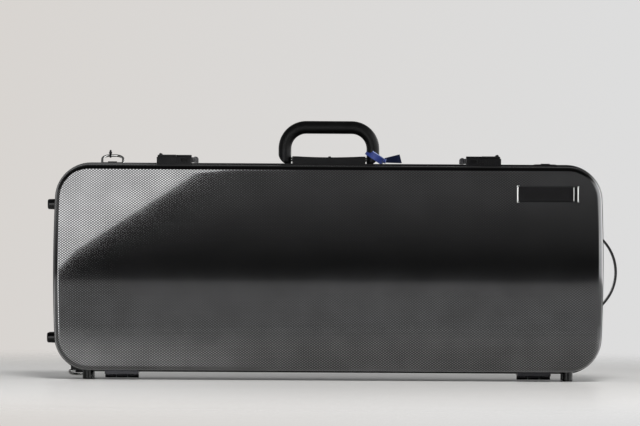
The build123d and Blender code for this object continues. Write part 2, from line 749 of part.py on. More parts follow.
def handle_ribbon():
    """A ribbon tied round the right leg, with a loose tail that points outwards."""
    inner = GRIP_R + FREE_CLEARANCE / 2
    outer = inner + RIBBON_THICK
    low = HANDLE_PIN_HEIGHT + RIBBON_FLOOR
    high = GRIP_BREAK_Z + RIBBON_OVER_GRIP
    band = rod_z(outer, low, high, HANDLE_LEG_X, HANDLE_Y)
    band -= rod_z(inner, low, high, HANDLE_LEG_X, HANDLE_Y)
    reach = 2 * outer
    cut = block(-reach, reach, -reach, reach, -RIBBON_WIDTH / 2, RIBBON_WIDTH / 2)
    middle = HANDLE_PIN_HEIGHT + RIBBON_RISE
    band &= Pos(HANDLE_LEG_X, HANDLE_Y, middle) * Rot(0, RIBBON_TILT, 0) * cut
    root = HANDLE_LEG_X + inner + RIBBON_THICK / 2
    tip = HANDLE_LEG_X + RIBBON_TAIL_LENGTH
    corners = [
        (root, HANDLE_Y, HANDLE_PIN_HEIGHT + RIBBON_ROOT_RISE),
        (root, HANDLE_Y, HANDLE_PIN_HEIGHT - RIBBON_ROOT_DROP),
        (tip, HANDLE_Y, HANDLE_PIN_HEIGHT - RIBBON_TAIL_DROP),
        (tip - RIBBON_TAIL_SLANT, HANDLE_Y, HANDLE_PIN_HEIGHT + RIBBON_TAIL_RISE),
    ]
    tail = extrude(Face(Wire.make_polygon(corners)), amount=RIBBON_THICK, dir=(0, 1, 0))
    return band + Pos(0, -RIBBON_THICK / 2, 0) * tail


def d_ring_line():
    """The closed line of a D-ring: a straight bar on the X axis and a bow towards +Y."""
    half = RING_WIDTH / 2
    corners = [(-half, 0), (half, 0), (half, RING_DEPTH), (-half, RING_DEPTH)]
    face = Face(Wire.make_polygon([(x, y, 0) for x, y in corners]))
    roots = face.vertices().group_by(Axis.Y)[0]
    face = face.fillet_2d(RING_ROOT, roots)
    bows = [v for v in face.vertices() if v.Y > RING_DEPTH - RING_WIRE_R]
    return face.fillet_2d(RING_ROUND, bows).outer_wire()


def d_ring(x, z, tilt):
    """A D-ring with its bar at a mount, raised by tilt from pointing backwards."""
    return Pos(x, RING_Y, z) * Rot(tilt, 0, 0) * swept(d_ring_line(), RING_WIRE_R)


def ring_mount(x, half, side):
    """A foot with a loop that the D-ring's bar turns in, on the top (1) or the spine (-1).

    Two slots in the foot let the ring's arms lie down beside the loop.
    """
    face = SHELL_TOP if side > 0 else SHELL_BOTTOM
    bar = face + side * RING_BAR_HEIGHT
    loop_r = RING_WIRE_R + RING_LOOP_WALL
    front = RIM_WIDTH + FREE_CLEARANCE
    back = front + RING_PLATE_WIDTH
    foot_end = face + side * RING_PLATE
    foot = block(x - half, x + half, front, back, min(face, foot_end), max(face, foot_end))
    arm_r = RING_WIRE_R + FREE_CLEARANCE
    arm_inner = RING_WIDTH / 2 - RING_WIRE_R - 3 * FREE_CLEARANCE
    arm_outer = RING_WIDTH / 2 + arm_r
    for end in (-1, 1):
        start, stop = sorted((x + end * arm_inner, x + end * arm_outer))
        foot -= block(start, stop, RING_Y - arm_r, back, min(face, foot_end), max(face, foot_end))
    if side < 0:
        foot += block(x - half, x + half, front, back, face, face + half)
    foot += rod_x(loop_r, x - RING_LOOP_HALF, x + RING_LOOP_HALF, RING_Y, bar)
    web = block(
        x - RING_LOOP_HALF,
        x + RING_LOOP_HALF,
        RING_Y - loop_r,
        RING_Y + loop_r,
        min(face, bar),
        max(face, bar),
    )
    foot += web
    foot -= base_body()
    bore = RING_WIRE_R + TURNING_CLEARANCE
    foot -= rod_x(arm_r, x - arm_outer, x - RING_LOOP_HALF, RING_Y, bar)
    foot -= rod_x(arm_r, x + RING_LOOP_HALF, x + arm_outer, RING_Y, bar)
    return foot - rod_x(bore, x - RING_LOOP_HALF, x + RING_LOOP_HALF, RING_Y, bar)


def cable_tie():
    """A cable tie round the bow of the left top ring, with its cut tail standing up."""
    bar_z = SHELL_TOP + RING_BAR_HEIGHT
    inner = RING_WIRE_R + FREE_CLEARANCE / 2
    outer = inner + TIE_THICK
    loop = rod_x(outer, -TIE_WIDTH / 2, TIE_WIDTH / 2, 0, 0)
    loop -= rod_x(inner, -TIE_WIDTH / 2, TIE_WIDTH / 2, 0, 0)
    head_low = inner + TIE_THICK / 2
    head = block(-TIE_HEAD, TIE_HEAD, -TIE_THICK, TIE_THICK, head_low, outer + TIE_WIDTH)
    tail = block(-TIE_WIDTH / 2, TIE_WIDTH / 2, -TIE_THICK / 2, TIE_THICK / 2, outer, outer + TIE_TAIL)
    placed = Pos(-TOP_RING_X + TIE_X, RING_Y, bar_z) * Rot(LEFT_RING_TILT, 0, 0)
    upright_tie = Pos(0, RING_DEPTH, 0) * Rot(-LEFT_RING_TILT, 0, 0) * (loop + head + tail)
    return placed * upright_tie


def spine_foot(x, y):
    """A round foot under the spine, flat where it stands."""
    foot = rod_z(SPINE_FOOT_R, 0, SHELL_BOTTOM, x, y)
    return fillet(foot.edges().group_by(Axis.Z)[0], FOOT_EDGE)


def end_foot(y, z):
    """A tapered foot on the left end, seated on the shell."""
    length = END_FOOT_STAND + END_BOW + SHELL_INSET + CUT_PAST
    cone = Cone(END_FOOT_R, END_FOOT_TIP_R, length, align=(Align.CENTER, Align.CENTER, Align.MIN))
    tip = cone.edges().group_by(Axis.Z)[-1]
    foot = fillet(tip, END_FOOT_ROUND)
    placed = Pos(length - END_FOOT_REACH, y, z) * Rot(0, -90, 0) * foot
    return placed - base_body()


def grab_strap():
    """The strap handle on the right end: a shallow bow with a flat tab at each end."""
    wall_x = LENGTH / 2 - SHELL_INSET
    root = wall_x + GRAB_END_THICK / 2
    low, high = GRAB_Z - GRAB_HALF, GRAB_Z + GRAB_HALF
    inner_reach = GRAB_REACH - GRAB_THICK
    edges = [
        ThreePointArc((root, 0, low), (GRAB_REACH, 0, GRAB_Z), (root, 0, high)),
        Line((root, 0, high), (root, 0, high - GRAB_THICK)),
        ThreePointArc((root, 0, high - GRAB_THICK), (inner_reach, 0, GRAB_Z), (root, 0, low + GRAB_THICK)),
        Line((root, 0, low + GRAB_THICK), (root, 0, low)),
    ]
    bow = extrude(Face(Wire(edges)), amount=GRAB_WIDTH, dir=(0, 1, 0))
    strap = Pos(0, GRAB_Y - GRAB_WIDTH / 2, 0) * bow
    for end in (-1, 1):
        strap += grab_layer(end, GRAB_END_THICK, GRAB_WIDTH, GRAB_TAB)
    strap -= base_body()
    for end in (-1, 1):
        strap -= grab_screw(end)
    return strap


def grab_layer(end, thick, width, length):
    """A flat layer at the upper (1) or lower (-1) end of the strap handle."""
    wall_x = LENGTH / 2 - SHELL_INSET
    root = GRAB_Z + end * (GRAB_HALF - GRAB_THICK)
    tip = root + end * length
    return block(
        wall_x - END_BOW,
        wall_x + thick,
        GRAB_Y - width / 2,
        GRAB_Y + width / 2,
        min(root, tip),
        max(root, tip),
    )


def grab_screw(end):
    """A screw through a plate, the strap's tab and the shell."""
    wall_x = LENGTH / 2 - SHELL_INSET
    z = GRAB_Z + end * (GRAB_HALF - GRAB_THICK + GRAB_SCREW_PLACE)
    outer = wall_x + GRAB_END_THICK + GRAB_PLATE
    shank = rod_x(GRAB_SCREW_R, wall_x - WALL - END_BOW / 2, outer, GRAB_Y, z)
    return shank + rod_x(GRAB_SCREW_HEAD_R, outer, outer + GRAB_SCREW_HEAD, GRAB_Y, z)


def grab_plate(end):
    """A plate over the strap's tab, with feet that reach the shell on both sides."""
    cover = GRAB_END_THICK + GRAB_PLATE
    offset = GRAB_THICK + FREE_CLEARANCE
    plate = Pos(0, 0, end * offset) * grab_layer(end, cover, GRAB_PLATE_WIDTH, GRAB_TAB - GRAB_THICK)
    return plate - base_body() - grab_strap() - grab_screw(end)


def name_plate():
    """A bare plate on the lid, with a raised border."""
    front = -LID_DEPTH - PLATE_THICK
    outer = RectangleRounded(PLATE_LENGTH, PLATE_HEIGHT, PLATE_CORNER)
    inner_length = PLATE_LENGTH - 2 * PLATE_BORDER
    inner_height = PLATE_HEIGHT - 2 * PLATE_BORDER
    inner = RectangleRounded(inner_length, inner_height, PLATE_CORNER - PLATE_BORDER)
    stand = Pos(PLATE_X, front, PLATE_Z) * Rot(-90, 0, 0)
    plate = stand * extrude(outer, amount=PLATE_THICK)
    return plate - stand * extrude(inner, amount=PLATE_FIELD_DEPTH)


def base_shell():
    """The base shell, with holes for what is fastened to it."""
    shell = base_body() - base_hollow()
    for x, y in hinge_rivet_places(1):
        shell -= rod_z(RIVET_R, SHELL_BOTTOM, SHELL_BOTTOM + WALL, x, y)
    for x, y in latch_rivet_places(1):
        for end in (-1, 1):
            shell -= rod_z(RIVET_R, SHELL_TOP - WALL, SHELL_TOP, end * x, y)
    for end in (-1, 1):
        shell -= rod_z(RIVET_R, SHELL_TOP - WALL, SHELL_TOP, end * SADDLE_SCREW_X, HANDLE_Y)
        shell -= grab_screw(end)
    return shell


def lid_shell():
    """The lid shell, with holes for what is fastened to it."""
    shell = lid_body() - lid_hollow()
    for x, y in hinge_rivet_places(-1):
        shell -= rod_z(RIVET_R, SHELL_BOTTOM, SHELL_BOTTOM + WALL, x, y)
    for x, y in latch_rivet_places(-1):
        for end in (-1, 1):
            shell -= rod_z(RIVET_R, SHELL_TOP - WALL, SHELL_TOP, end * x, y)
    return shell


def latch_rivets(side, outer):
    """Rivets of both latches on one side of the seam."""
    return Compound(
        [
            rivet(end * x, y, outer, SHELL_TOP - WALL)
            for x, y in latch_rivet_places(side)
            for end in (-1, 1)
        ]
    )


def pair(name, piece):
    """Two mirrored nodes, one at each end of the case."""
    return {f"{name}_right": piece, f"{name}_left": mirrored(piece)}


def all_pieces():
    """Every node by name."""
    top_bar = SHELL_TOP + RING_BAR_HEIGHT
    bottom_bar = SHELL_BOTTOM - RING_BAR_HEIGHT
    keeper_floor = HASP_LOW - HASP_NOSE_DEPTH - 2 * FREE_CLEARANCE - RIVET_HEAD
    rows = range(len(BOW_ROWS))
    pieces = {
        "base_shell": base_shell(),
        "lid_shell": lid_shell(),
        "base_rim": rim(0, 1) - seal_ring(SEAM_CLEARANCE),
        "lid_rim": rim(LID_RIM_STEP, -1),
        "rim_seal": seal_ring(0),
        "base_pad": base_pad(),
        "lid_pad": lid_pad(),
        "bow_clips": Compound([bow_clip(row) for row in rows]),
        "bow_pockets": Compound([bow_pocket(row) for row in rows]),
        "hinge_rivets_base": hinge_rivets(1),
        "hinge_rivets_lid": hinge_rivets(-1),
        "latch_rivets_base": latch_rivets(1, CASE_TOP),
        "latch_rivets_lid": latch_rivets(-1, keeper_floor),
        "handle_core": handle_core(),
        "handle_grip": handle_grip(),
        "handle_eyes": Compound([handle_eye(-1), handle_eye(1)]),
        "handle_pins": Compound([handle_pin(-1), handle_pin(1)]),
        "handle_saddle": handle_saddle(),
        "saddle_screws": Compound([saddle_screw(side * SADDLE_SCREW_X) for side in (-1, 1)]),
        "handle_ribbon": handle_ribbon(),
        "cable_tie": cable_tie(),
        "spine_feet_lid": Compound([spine_foot(side * SPINE_FOOT_X, -LID_FOOT_Y) for side in (-1, 1)]),
        "spine_feet_base": Compound([spine_foot(side * SPINE_FOOT_X, BASE_FOOT_Y) for side in (-1, 1)]),
        "end_feet": Compound([end_foot(y, z) for y in END_FOOT_DEPTHS for z in END_FOOT_HEIGHTS]),
        "grab_strap": grab_strap(),
        "grab_plates": Compound([grab_plate(-1), grab_plate(1)]),
        "grab_screws": Compound([grab_screw(-1), grab_screw(1)]),
        "name_plate": name_plate(),
    }
    for name, end in (("left", -1), ("right", 1)):
        pieces[f"neck_rest_{name}"] = along_violin(neck_rest(), end)
        pieces[f"neck_strap_{name}"] = along_violin(neck_strap(), end)
    for row in rows:
        pieces[f"bow_button_{row + 1}"] = bow_button(row)
    pieces.update(pair("hinge_base_leaf", hinge_leaf(1, FLOOR_GAP)))
    pieces.update(pair("hinge_lid_leaf", hinge_leaf(-1, LID_RIM_BOTTOM)))
    pieces["hinge_pins"] = Compound([hinge_pin(), mirrored(hinge_pin())])
    pieces.update(pair("latch_housing", latch_housing()))
    pieces.update(pair("latch_keeper", keeper()))
    pieces.update(pair("latch_hasp", hasp()))
    pieces["hasp_pins"] = Compound([hasp_pin(), mirrored(hasp_pin())])
    pieces.update(pair("latch_slide", slide()))
    pieces["slide_springs"] = Compound([slide_spring(), mirrored(slide_spring())])
    pieces.update(pair("top_ring_mount", ring_mount(TOP_RING_X, TOP_RING_HALF, 1)))
    pieces["top_ring_right"] = d_ring(TOP_RING_X, top_bar, RIGHT_RING_TILT)
    pieces["top_ring_left"] = d_ring(-TOP_RING_X, top_bar, LEFT_RING_TILT)
    pieces["spine_ring_mount"] = ring_mount(-BOTTOM_RING_X, BOTTOM_RING_HALF, -1)
    pieces["spine_ring"] = d_ring(-BOTTOM_RING_X, bottom_bar, BOTTOM_RING_TILT)
    return pieces


# The case is centred over the origin, from the reach of its feet, strap handle, plate and base.
centred = Pos((END_FOOT_REACH - GRAB_REACH) / 2, (LID_FRONT - BASE_DEPTH) / 2, 0)

os.makedirs("parts", exist_ok=True)
for name, piece in all_pieces().items():
    export_step(centred * piece, f"parts/{name}.step")
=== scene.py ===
"""Looks of a hard case for two violins: carbon shells, rims, latches, handle, rings, feet and linings."""
import math
from contextlib import contextmanager

import bmesh
import bpy
from bpy.props import FloatProperty, FloatVectorProperty, PointerProperty
from mathutils import Matrix, Vector


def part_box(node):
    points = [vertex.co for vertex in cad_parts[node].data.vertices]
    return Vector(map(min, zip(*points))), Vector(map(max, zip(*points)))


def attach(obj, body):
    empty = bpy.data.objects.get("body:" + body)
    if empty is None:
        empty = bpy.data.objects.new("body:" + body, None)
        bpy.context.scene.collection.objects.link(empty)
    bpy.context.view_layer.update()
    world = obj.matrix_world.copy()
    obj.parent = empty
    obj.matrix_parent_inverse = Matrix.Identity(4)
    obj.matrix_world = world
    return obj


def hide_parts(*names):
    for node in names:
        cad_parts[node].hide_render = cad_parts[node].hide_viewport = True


bl_info = {
    "name": "Double violin case",
    "version": (1, 0, 0),
    "blender": (4, 5, 0),
    "location": "3D View > Sidebar > Violin case",
    "description": "Builds the looks of a hard case for two violins around its CAD frame",
    "category": "Add Mesh",
}

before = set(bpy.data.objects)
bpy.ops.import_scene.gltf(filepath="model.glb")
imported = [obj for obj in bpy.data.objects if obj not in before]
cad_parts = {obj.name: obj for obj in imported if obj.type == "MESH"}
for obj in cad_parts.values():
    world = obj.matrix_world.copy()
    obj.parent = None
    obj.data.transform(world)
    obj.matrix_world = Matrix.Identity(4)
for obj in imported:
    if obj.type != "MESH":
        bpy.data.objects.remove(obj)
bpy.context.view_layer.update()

MM = 0.001

# The case's own measures, in millimetres from the middle of the case, the seam and the floor
RIM_LOW, RIM_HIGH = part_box("base_rim")
MIDDLE_X = (RIM_LOW[0] + RIM_HIGH[0]) / 2
SEAM_Y = RIM_LOW[1] - 0.3 * MM
LENGTH = (RIM_HIGH[0] - RIM_LOW[0]) / MM
CASE_LOW, CASE_TOP = RIM_LOW[2] / MM, RIM_HIGH[2] / MM
HEIGHT = CASE_TOP - CASE_LOW
MIDDLE_Z = (CASE_LOW + CASE_TOP) / 2
END_BOW = 5.0
CORNER = 49.0
SHELL_INSET = 3.5
WALL = 3.0
RIM_STEP = 1.7
RIM_INNER = 8.5
RIM_WIDTH = 10.0
LID_DEPTH = 70.0
BASE_DEPTH = 95.0
EDGE_ROUND = 7.0
LATCH_OUTER = 246.5
GRAB_REACH, GRAB_HALF = 416.5, 51.5
GRAB_Y, GRAB_Z = 50.0, 156.0
PLATE_X, PLATE_Z, PLATE_HALF, PLATE_THICK = 312.5, 267.7, 44.4, 1.5
HANDLE_Y = 26.0
LEG_X = 63.3
GRIP_R = 9.2
GRIP_BEND = 30.8
GRIP_BREAK = 331.4
PAD_TOP = 4.0
LID_FLOOR = -57.0
BOW_ROWS = (85.0, 30.0, -30.0, -85.0)
VIOLIN_X, VIOLIN_DROP = -267.2, 18.0
VIOLIN_TILT = math.radians(11)

# Vertices this near to a plane, in metres, lie on it
TOUCH = 1e-5

# How the photograph shows the case: millimetres to a pixel, its size, and the case's middle and top in it
PIXEL = 1.435
PHOTO_WIDTH, PHOTO_HEIGHT = 640, 426
MIDDLE_PIXEL, TOP_PIXEL = 328.6, 163.6
ROLL = math.radians(-0.32)


def linear(code):
    """Turns an sRGB hex colour into linear values."""
    parts = [int(code[i:i + 2], 16) / 255 for i in (1, 3, 5)]
    return tuple(c / 12.92 if c <= 0.04045 else ((c + 0.055) / 1.055) ** 2.4 for c in parts)


def colour(name, text, code):
    """A colour property whose default is an sRGB hex value."""
    return FloatVectorProperty(
        name=name, description=text, subtype="COLOR", size=3, min=0, max=1, default=linear(code)
    )


class CaseShape(bpy.types.PropertyGroup):
    """Sizes of the case's finish that a user may change."""

    dome: FloatProperty(
        name="Lid dome", description="How far the middle of the lid stands in front of its edge, in mm",
        default=1.6, min=0, max=3,
    )
    dot_length: FloatProperty(
        name="Weave pitch along", description="Spacing of the weave along the case, in mm",
        default=4.8, min=1,
    )
    dot_height: FloatProperty(
        name="Weave pitch across", description="Spacing of the weave across the case, in mm",
        default=3.5, min=1,
    )
    soft_edge: FloatProperty(
        name="Moulded edge", description="Radius of the edges of moulded parts, in mm", default=0.7, min=0.1
    )


class CaseColours(bpy.types.PropertyGroup):
    """Colours of the case's finishes."""

    carbon_dark: colour("Carbon valley", "Fibre in the dark part of the weave", "#121213")
    carbon_light: colour("Carbon ridge", "Fibre in the light part of the weave", "#707071")
    rim: colour("Rim", "Glossy plastic of the rims", "#0d0d0e")
    nylon: colour("Moulded nylon", "Latches, saddle, mounts", "#070708")
    grip: colour("Grip", "Soft rubber of the handle", "#080808")
    tab: colour("Latch tab", "Smooth tab of the latches", "#2a2a2c")
    velvet: colour("Lining", "Pile of the lining", "#2c2c31")
    webbing: colour("Webbing", "Woven nylon of straps", "#121213")
    ribbon: colour("Ribbon", "Satin face of the ribbon on the handle", "#182b6c")
    # Pale colour for one edge of the ribbon: a painted highlight
    ribbon_edge_highlight: colour("Ribbon edge", "Pale edge of the ribbon", "#8f9cc8")
    # The ribbon's dull back, drawn darker as painted shade for the tail that hangs in shade
    ribbon_back_and_shade: colour("Ribbon back", "Dull back of the ribbon", "#0b1228")
    piping: colour("Piping", "Covered cord along the hollows", "#4a4a52")
    floor: colour("Floor", "Studio floor", "#dedddb")


def shape():
    return bpy.context.scene.case_shape


def colours():
    return bpy.context.scene.case_colours


# Modelling helpers


def place(x, y, z):
    """A point given in the case's own millimetres, in the shared frame."""
    return Vector((MIDDLE_X + x * MM, SEAM_Y + y * MM, z * MM))


def own(point):
    """A point of the shared frame in the case's own millimetres."""
    return (point[0] - MIDDLE_X) / MM, (point[1] - SEAM_Y) / MM, point[2] / MM


def only(*objs):
    """Selects these objects and makes the first one active."""
    if bpy.context.mode != "OBJECT":
        bpy.ops.object.mode_set(mode="OBJECT")
    bpy.ops.object.select_all(action="DESELECT")
    for obj in objs:
        obj.select_set(True)
    if objs:
        bpy.context.view_layer.objects.active = objs[0]


def named(name):
    """Names the primitive just added and puts its place into its mesh."""
    obj = bpy.context.object
    obj.name = name
    obj.data.name = name
    bpy.ops.object.transform_apply(location=True, rotation=True, scale=True)
    return obj


def block(name, x, y, z):
    """A box between two limits on each axis, in the case's millimetres."""
    low, high = place(min(x), min(y), min(z)), place(max(x), max(y), max(z))
    only()
    bpy.ops.mesh.primitive_cube_add(size=1, location=(low + high) / 2, scale=high - low)
    return named(name)


@contextmanager
def shaping(obj, kind="FACE", pick=None):
    """Edit mode on one object, with the vertices, edges or faces chosen by pick selected."""
    only(obj)
    bpy.ops.object.mode_set(mode="EDIT")
    bpy.ops.mesh.select_mode(type=kind)
    bpy.ops.mesh.select_all(action="SELECT" if pick is None else "DESELECT")
    if pick is not None:
        mesh = bmesh.from_edit_mesh(obj.data)
        for part in {"VERT": mesh.verts, "EDGE": mesh.edges, "FACE": mesh.faces}[kind]:
            part.select_set(pick(part))
        mesh.select_flush_mode()
        bmesh.update_edit_mesh(obj.data)
    yield obj
    bpy.ops.object.mode_set(mode="OBJECT")


def modify(obj, kind, **settings):
    """Adds a modifier and applies it."""
    only(obj)
    bpy.ops.object.modifier_add(type=kind)
    modifier = obj.modifiers[-1]
    for key, value in settings.items():
        setattr(modifier, key, value)
    bpy.ops.object.modifier_apply(modifier=modifier.name)
    return obj


def smooth(obj, angle=35):
    """Smooth shading that keeps edges sharper than an angle."""
    only(obj)
    bpy.ops.object.shade_smooth_by_angle(angle=math.radians(angle))
    return obj


def eased(obj, radius=None, segments=3, angle=30):
    """Rounds all sharp edges, as on a moulded part, and shades the faces flat between them."""
    width = (radius or shape().soft_edge) * MM
    modify(
        obj, "BEVEL", width=width, segments=segments, limit_method="ANGLE",
        angle_limit=math.radians(angle), harden_normals=False,
    )
    smooth(obj, 40)
    return modify(obj, "WEIGHTED_NORMAL", keep_sharp=True)


def joined(name, *objs):
    """Joins pieces into one."""
    only(*objs)
    bpy.ops.object.join()
    obj = bpy.context.object
    obj.name = name
    obj.data.name = name
    return obj


def copied(obj, name):
    """A copy with its own mesh."""
    only(obj)
    bpy.ops.object.duplicate()
    new = bpy.context.object
    new.name = name
    new.data.name = name
    return new


def taken(node_name, name):
    """A copy of a CAD node's mesh, with its corners merged and its flat faces whole, for finer work."""
    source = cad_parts[node_name]
    obj = bpy.data.objects.new(name, source.data.copy())
    bpy.context.scene.collection.objects.link(obj)
    obj.data.name = name
    obj.data.transform(source.matrix_world)
    only(obj)
    bpy.ops.mesh.customdata_custom_splitnormals_clear()
    with shaping(obj):
        bpy.ops.mesh.remove_doubles(threshold=2e-6)
        bpy.ops.mesh.dissolve_limited(angle_limit=math.radians(0.4))
        bpy.ops.mesh.normals_make_consistent(inside=False)
    return obj


def cut(obj, *tools):
    """Cuts the shapes of other pieces out of one, and drops them."""
    for tool in tools:
        modify(obj, "BOOLEAN", operation="DIFFERENCE", object=tool, solver="EXACT")
        bpy.data.objects.remove(tool)
    return obj


def moulded(node_name, name, body, finish_name, radius=None, cutters=()):
    """A CAD node's piece with the rounded edges and the cuts that the moulded part has."""
    obj = eased(cut(taken(node_name, name), *cutters), radius)
    return finish(obj, body, finish_name, [node_name])


def finish(obj, body, finish_name, replaces=()):
    """Gives a piece its finish in a material slot and its body, and hides the CAD nodes that it stands for.
    """
    obj.data.materials.clear()
    obj.data.materials.append(finish_of(finish_name))
    if replaces:
        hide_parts(*replaces)
    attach(obj, body)
    return obj


def paint(finish_name, *node_names):
    """Gives CAD nodes a finish."""
    for name in node_names:
        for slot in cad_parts[name].material_slots:
            slot.material = finish_of(finish_name)


def edge_along(axis):
    """Picks the edges that run along one axis."""
    def pick(edge):
        run = edge.verts[1].co - edge.verts[0].co
        return abs(run[axis]) > 0.99 * run.length
    return pick


def lies_at(axis, *levels):
    """Picks the edges or faces that lie wholly in one of some planes square to an axis."""
    def pick(part):
        return any(all(abs(v.co[axis] - level) < TOUCH for v in part.verts) for level in levels)
    return pick


def strip(name, stations, thick, edge=0.25):
    """A flat band through stations of (middle, half of its width as a vector), in the case's millimetres.
    Its UV map runs along the band in metres and across it from 0 to 1."""
    steps, rows = len(stations) - 1, 4
    only()
    bpy.ops.mesh.primitive_grid_add(x_subdivisions=steps, y_subdivisions=rows, size=1)
    obj = named(name)
    while obj.data.uv_layers:
        obj.data.uv_layers.remove(obj.data.uv_layers[0])
    reach = [0.0]
    for (here, _), (there, _) in zip(stations, stations[1:]):
        reach.append(reach[-1] + (Vector(there) - Vector(here)).length)
    cells = [(round((v.co.x + 0.5) * steps), v.co.y + 0.5) for v in obj.data.vertices]
    layer = obj.data.uv_layers.new(name="strip")
    for loop in obj.data.loops:
        step, share = cells[loop.vertex_index]
        layer.data[loop.index].uv = (reach[step] * MM, share)
    for vertex, (step, share) in zip(obj.data.vertices, cells):
        middle, half = stations[step]
        vertex.co = place(*(Vector(middle) + Vector(half) * (2 * share - 1)))
    modify(obj, "SOLIDIFY", thickness=thick * MM, offset=0)
    with shaping(obj):
        bpy.ops.mesh.normals_make_consistent(inside=False)
    if edge:
        eased(obj, edge, 2, 50)
    return smooth(obj, 50)


def arc(start, top, end, steps):
    """Points of the circle through three points of a plane."""
    (ax, az), (bx, bz), (cx, cz) = start, top, end
    d = 2 * (ax * (bz - cz) + bx * (cz - az) + cx * (az - bz))
    a2, b2, c2 = ax * ax + az * az, bx * bx + bz * bz, cx * cx + cz * cz
    x = (a2 * (bz - cz) + b2 * (cz - az) + c2 * (az - bz)) / d
    z = (a2 * (cx - bx) + b2 * (ax - cx) + c2 * (bx - ax)) / d
    first, last = math.atan2(az - z, ax - x), math.atan2(cz - z, cx - x)
    radius = math.hypot(ax - x, az - z)
    angles = [first + (last - first) * i / steps for i in range(steps + 1)]
    return [(x + radius * math.cos(a), z + radius * math.sin(a)) for a in angles]


def sliced(obj, planes):
    """Adds the edges where planes, given as a point and a normal, pass through a piece."""
    with shaping(obj):
        for spot, normal in planes:
            bpy.ops.mesh.select_all(action="SELECT")
            bpy.ops.mesh.bisect(plane_co=place(*spot), plane_no=normal)


def outline_block(name, inset, near, far, edge_round=0.0):
    """A block with the case's outline: straight spine and top, bowed ends, round corners."""
    half = LENGTH / 2 - END_BOW - inset
    obj = block(name, (-half, half), (near, far), (CASE_LOW + inset, CASE_TOP - inset))
    with shaping(obj, "EDGE", edge_along(1)):
        bpy.ops.mesh.bevel(offset=(CORNER - inset) * MM, segments=14, affect="EDGES")
    if edge_round:
        with shaping(obj, "EDGE", lies_at(1, place(0, far, 0).y)):
            bpy.ops.mesh.bevel(offset=edge_round * MM, segments=10, affect="EDGES")
    strips = 24
    across = [((-half + i * 2 * half / strips, 0, 0), (1, 0, 0)) for i in range(1, strips)]
    up = [((0, 0, CASE_LOW + inset + i * (HEIGHT - 2 * inset) / strips), (0, 0, 1)) for i in range(1, strips)]
    sliced(obj, across + up)
    for vertex in obj.data.vertices:
        x, _, z = own(vertex.co)
        share = 1 - ((z - MIDDLE_Z) / (HEIGHT / 2)) ** 2
        vertex.co.x += END_BOW * share * x / half * MM
    return obj


# Materials


def set_inputs(tree, target, inputs):
    """Sets a node's inputs, given by name or in order. A node among them is linked by its first output."""
    sockets = target.inputs if isinstance(inputs, dict) else [s for s in target.inputs if s.enabled]
    for key, value in inputs.items() if isinstance(inputs, dict) else enumerate(inputs):
        if isinstance(value, bpy.types.Node):
            value = next(output for output in value.outputs if output.enabled)
        if isinstance(value, bpy.types.NodeSocket):
            tree.links.new(value, sockets[key])
        elif sockets[key].type == "RGBA":
            sockets[key].default_value = (*value[:3], 1.0)
        else:
            sockets[key].default_value = value


def node(tree, kind, inputs=(), **settings):
    """Adds a node with its settings and its inputs."""
    new = tree.nodes.new("ShaderNode" + kind)
    for key, value in settings.items():
        setattr(new, key, value)
    set_inputs(tree, new, inputs)
    return new


def blank(name):
    """A new material with a shader and an output."""
    material = bpy.data.materials.new(name)
    material.use_nodes = True
    tree = material.node_tree
    tree.nodes.clear()
    shader = node(tree, "BsdfPrincipled")
    node(tree, "OutputMaterial", {"Surface": shader})
    return material, tree, shader


def wave_scale(pitch):
    """The scale at which the band pattern repeats every so many millimetres."""
    return 2 * math.pi / (20 * pitch * MM)


def darker(value, share):
    """A colour scaled in brightness."""
    return tuple(c * share for c in value)


def carbon_material():
    """Carbon laminate under clear coat: woven fibre that glints in a grid of small diamonds, under a
    mirror-smooth coat that shows what stands before it."""
    material, tree, shader = blank("carbon_weave_clear_coat")
    uv = node(tree, "UVMap", uv_map="weave")
    along, across = shape().dot_length * MM, shape().dot_height * MM
    pitch = (2 * math.pi / along, 2 * math.pi / across, 1)
    spot = node(tree, "SeparateXYZ", [node(tree, "Mapping", {"Vector": uv, "Scale": pitch})])
    wave_u = node(tree, "Math", [spot.outputs[0]], operation="COSINE")
    wave_v = node(tree, "Math", [spot.outputs[1]], operation="COSINE")
    grid = node(tree, "Math", (wave_u, wave_v), operation="MULTIPLY")
    # Hand-laid cloth pulls a little, so the glint drifts over some centimetres
    drift = node(tree, "TexNoise", {"Vector": uv, "Scale": 18.0, "Detail": 2.0, "Roughness": 0.6})
    drift = node(tree, "MapRange", (drift, 0.3, 0.7, -0.12, 0.12))
    height = node(tree, "Math", (grid, drift), operation="ADD")
    ridge = node(tree, "MapRange", (height, -0.1, 0.7), interpolation_type="SMOOTHSTEP")
    fibre = (ridge, colours().carbon_dark, colours().carbon_light)
    # The fibres lie less evenly in small patches, where their glint is duller
    patches = {"Vector": uv, "Scale": 60.0, "Detail": 6.0, "Roughness": 0.75, "Distortion": 1.5}
    set_inputs(
        tree, shader,
        {
            "Base Color": node(tree, "Mix", fibre, data_type="RGBA"), "Metallic": 1.0,
            "Roughness": node(tree, "MapRange", (node(tree, "TexNoise", patches), 0.62, 0.8, 0.06, 0.14)),
            "Coat Weight": 1.0, "Coat Roughness": 0.02, "Coat IOR": 1.5,
        },
    )
    return material


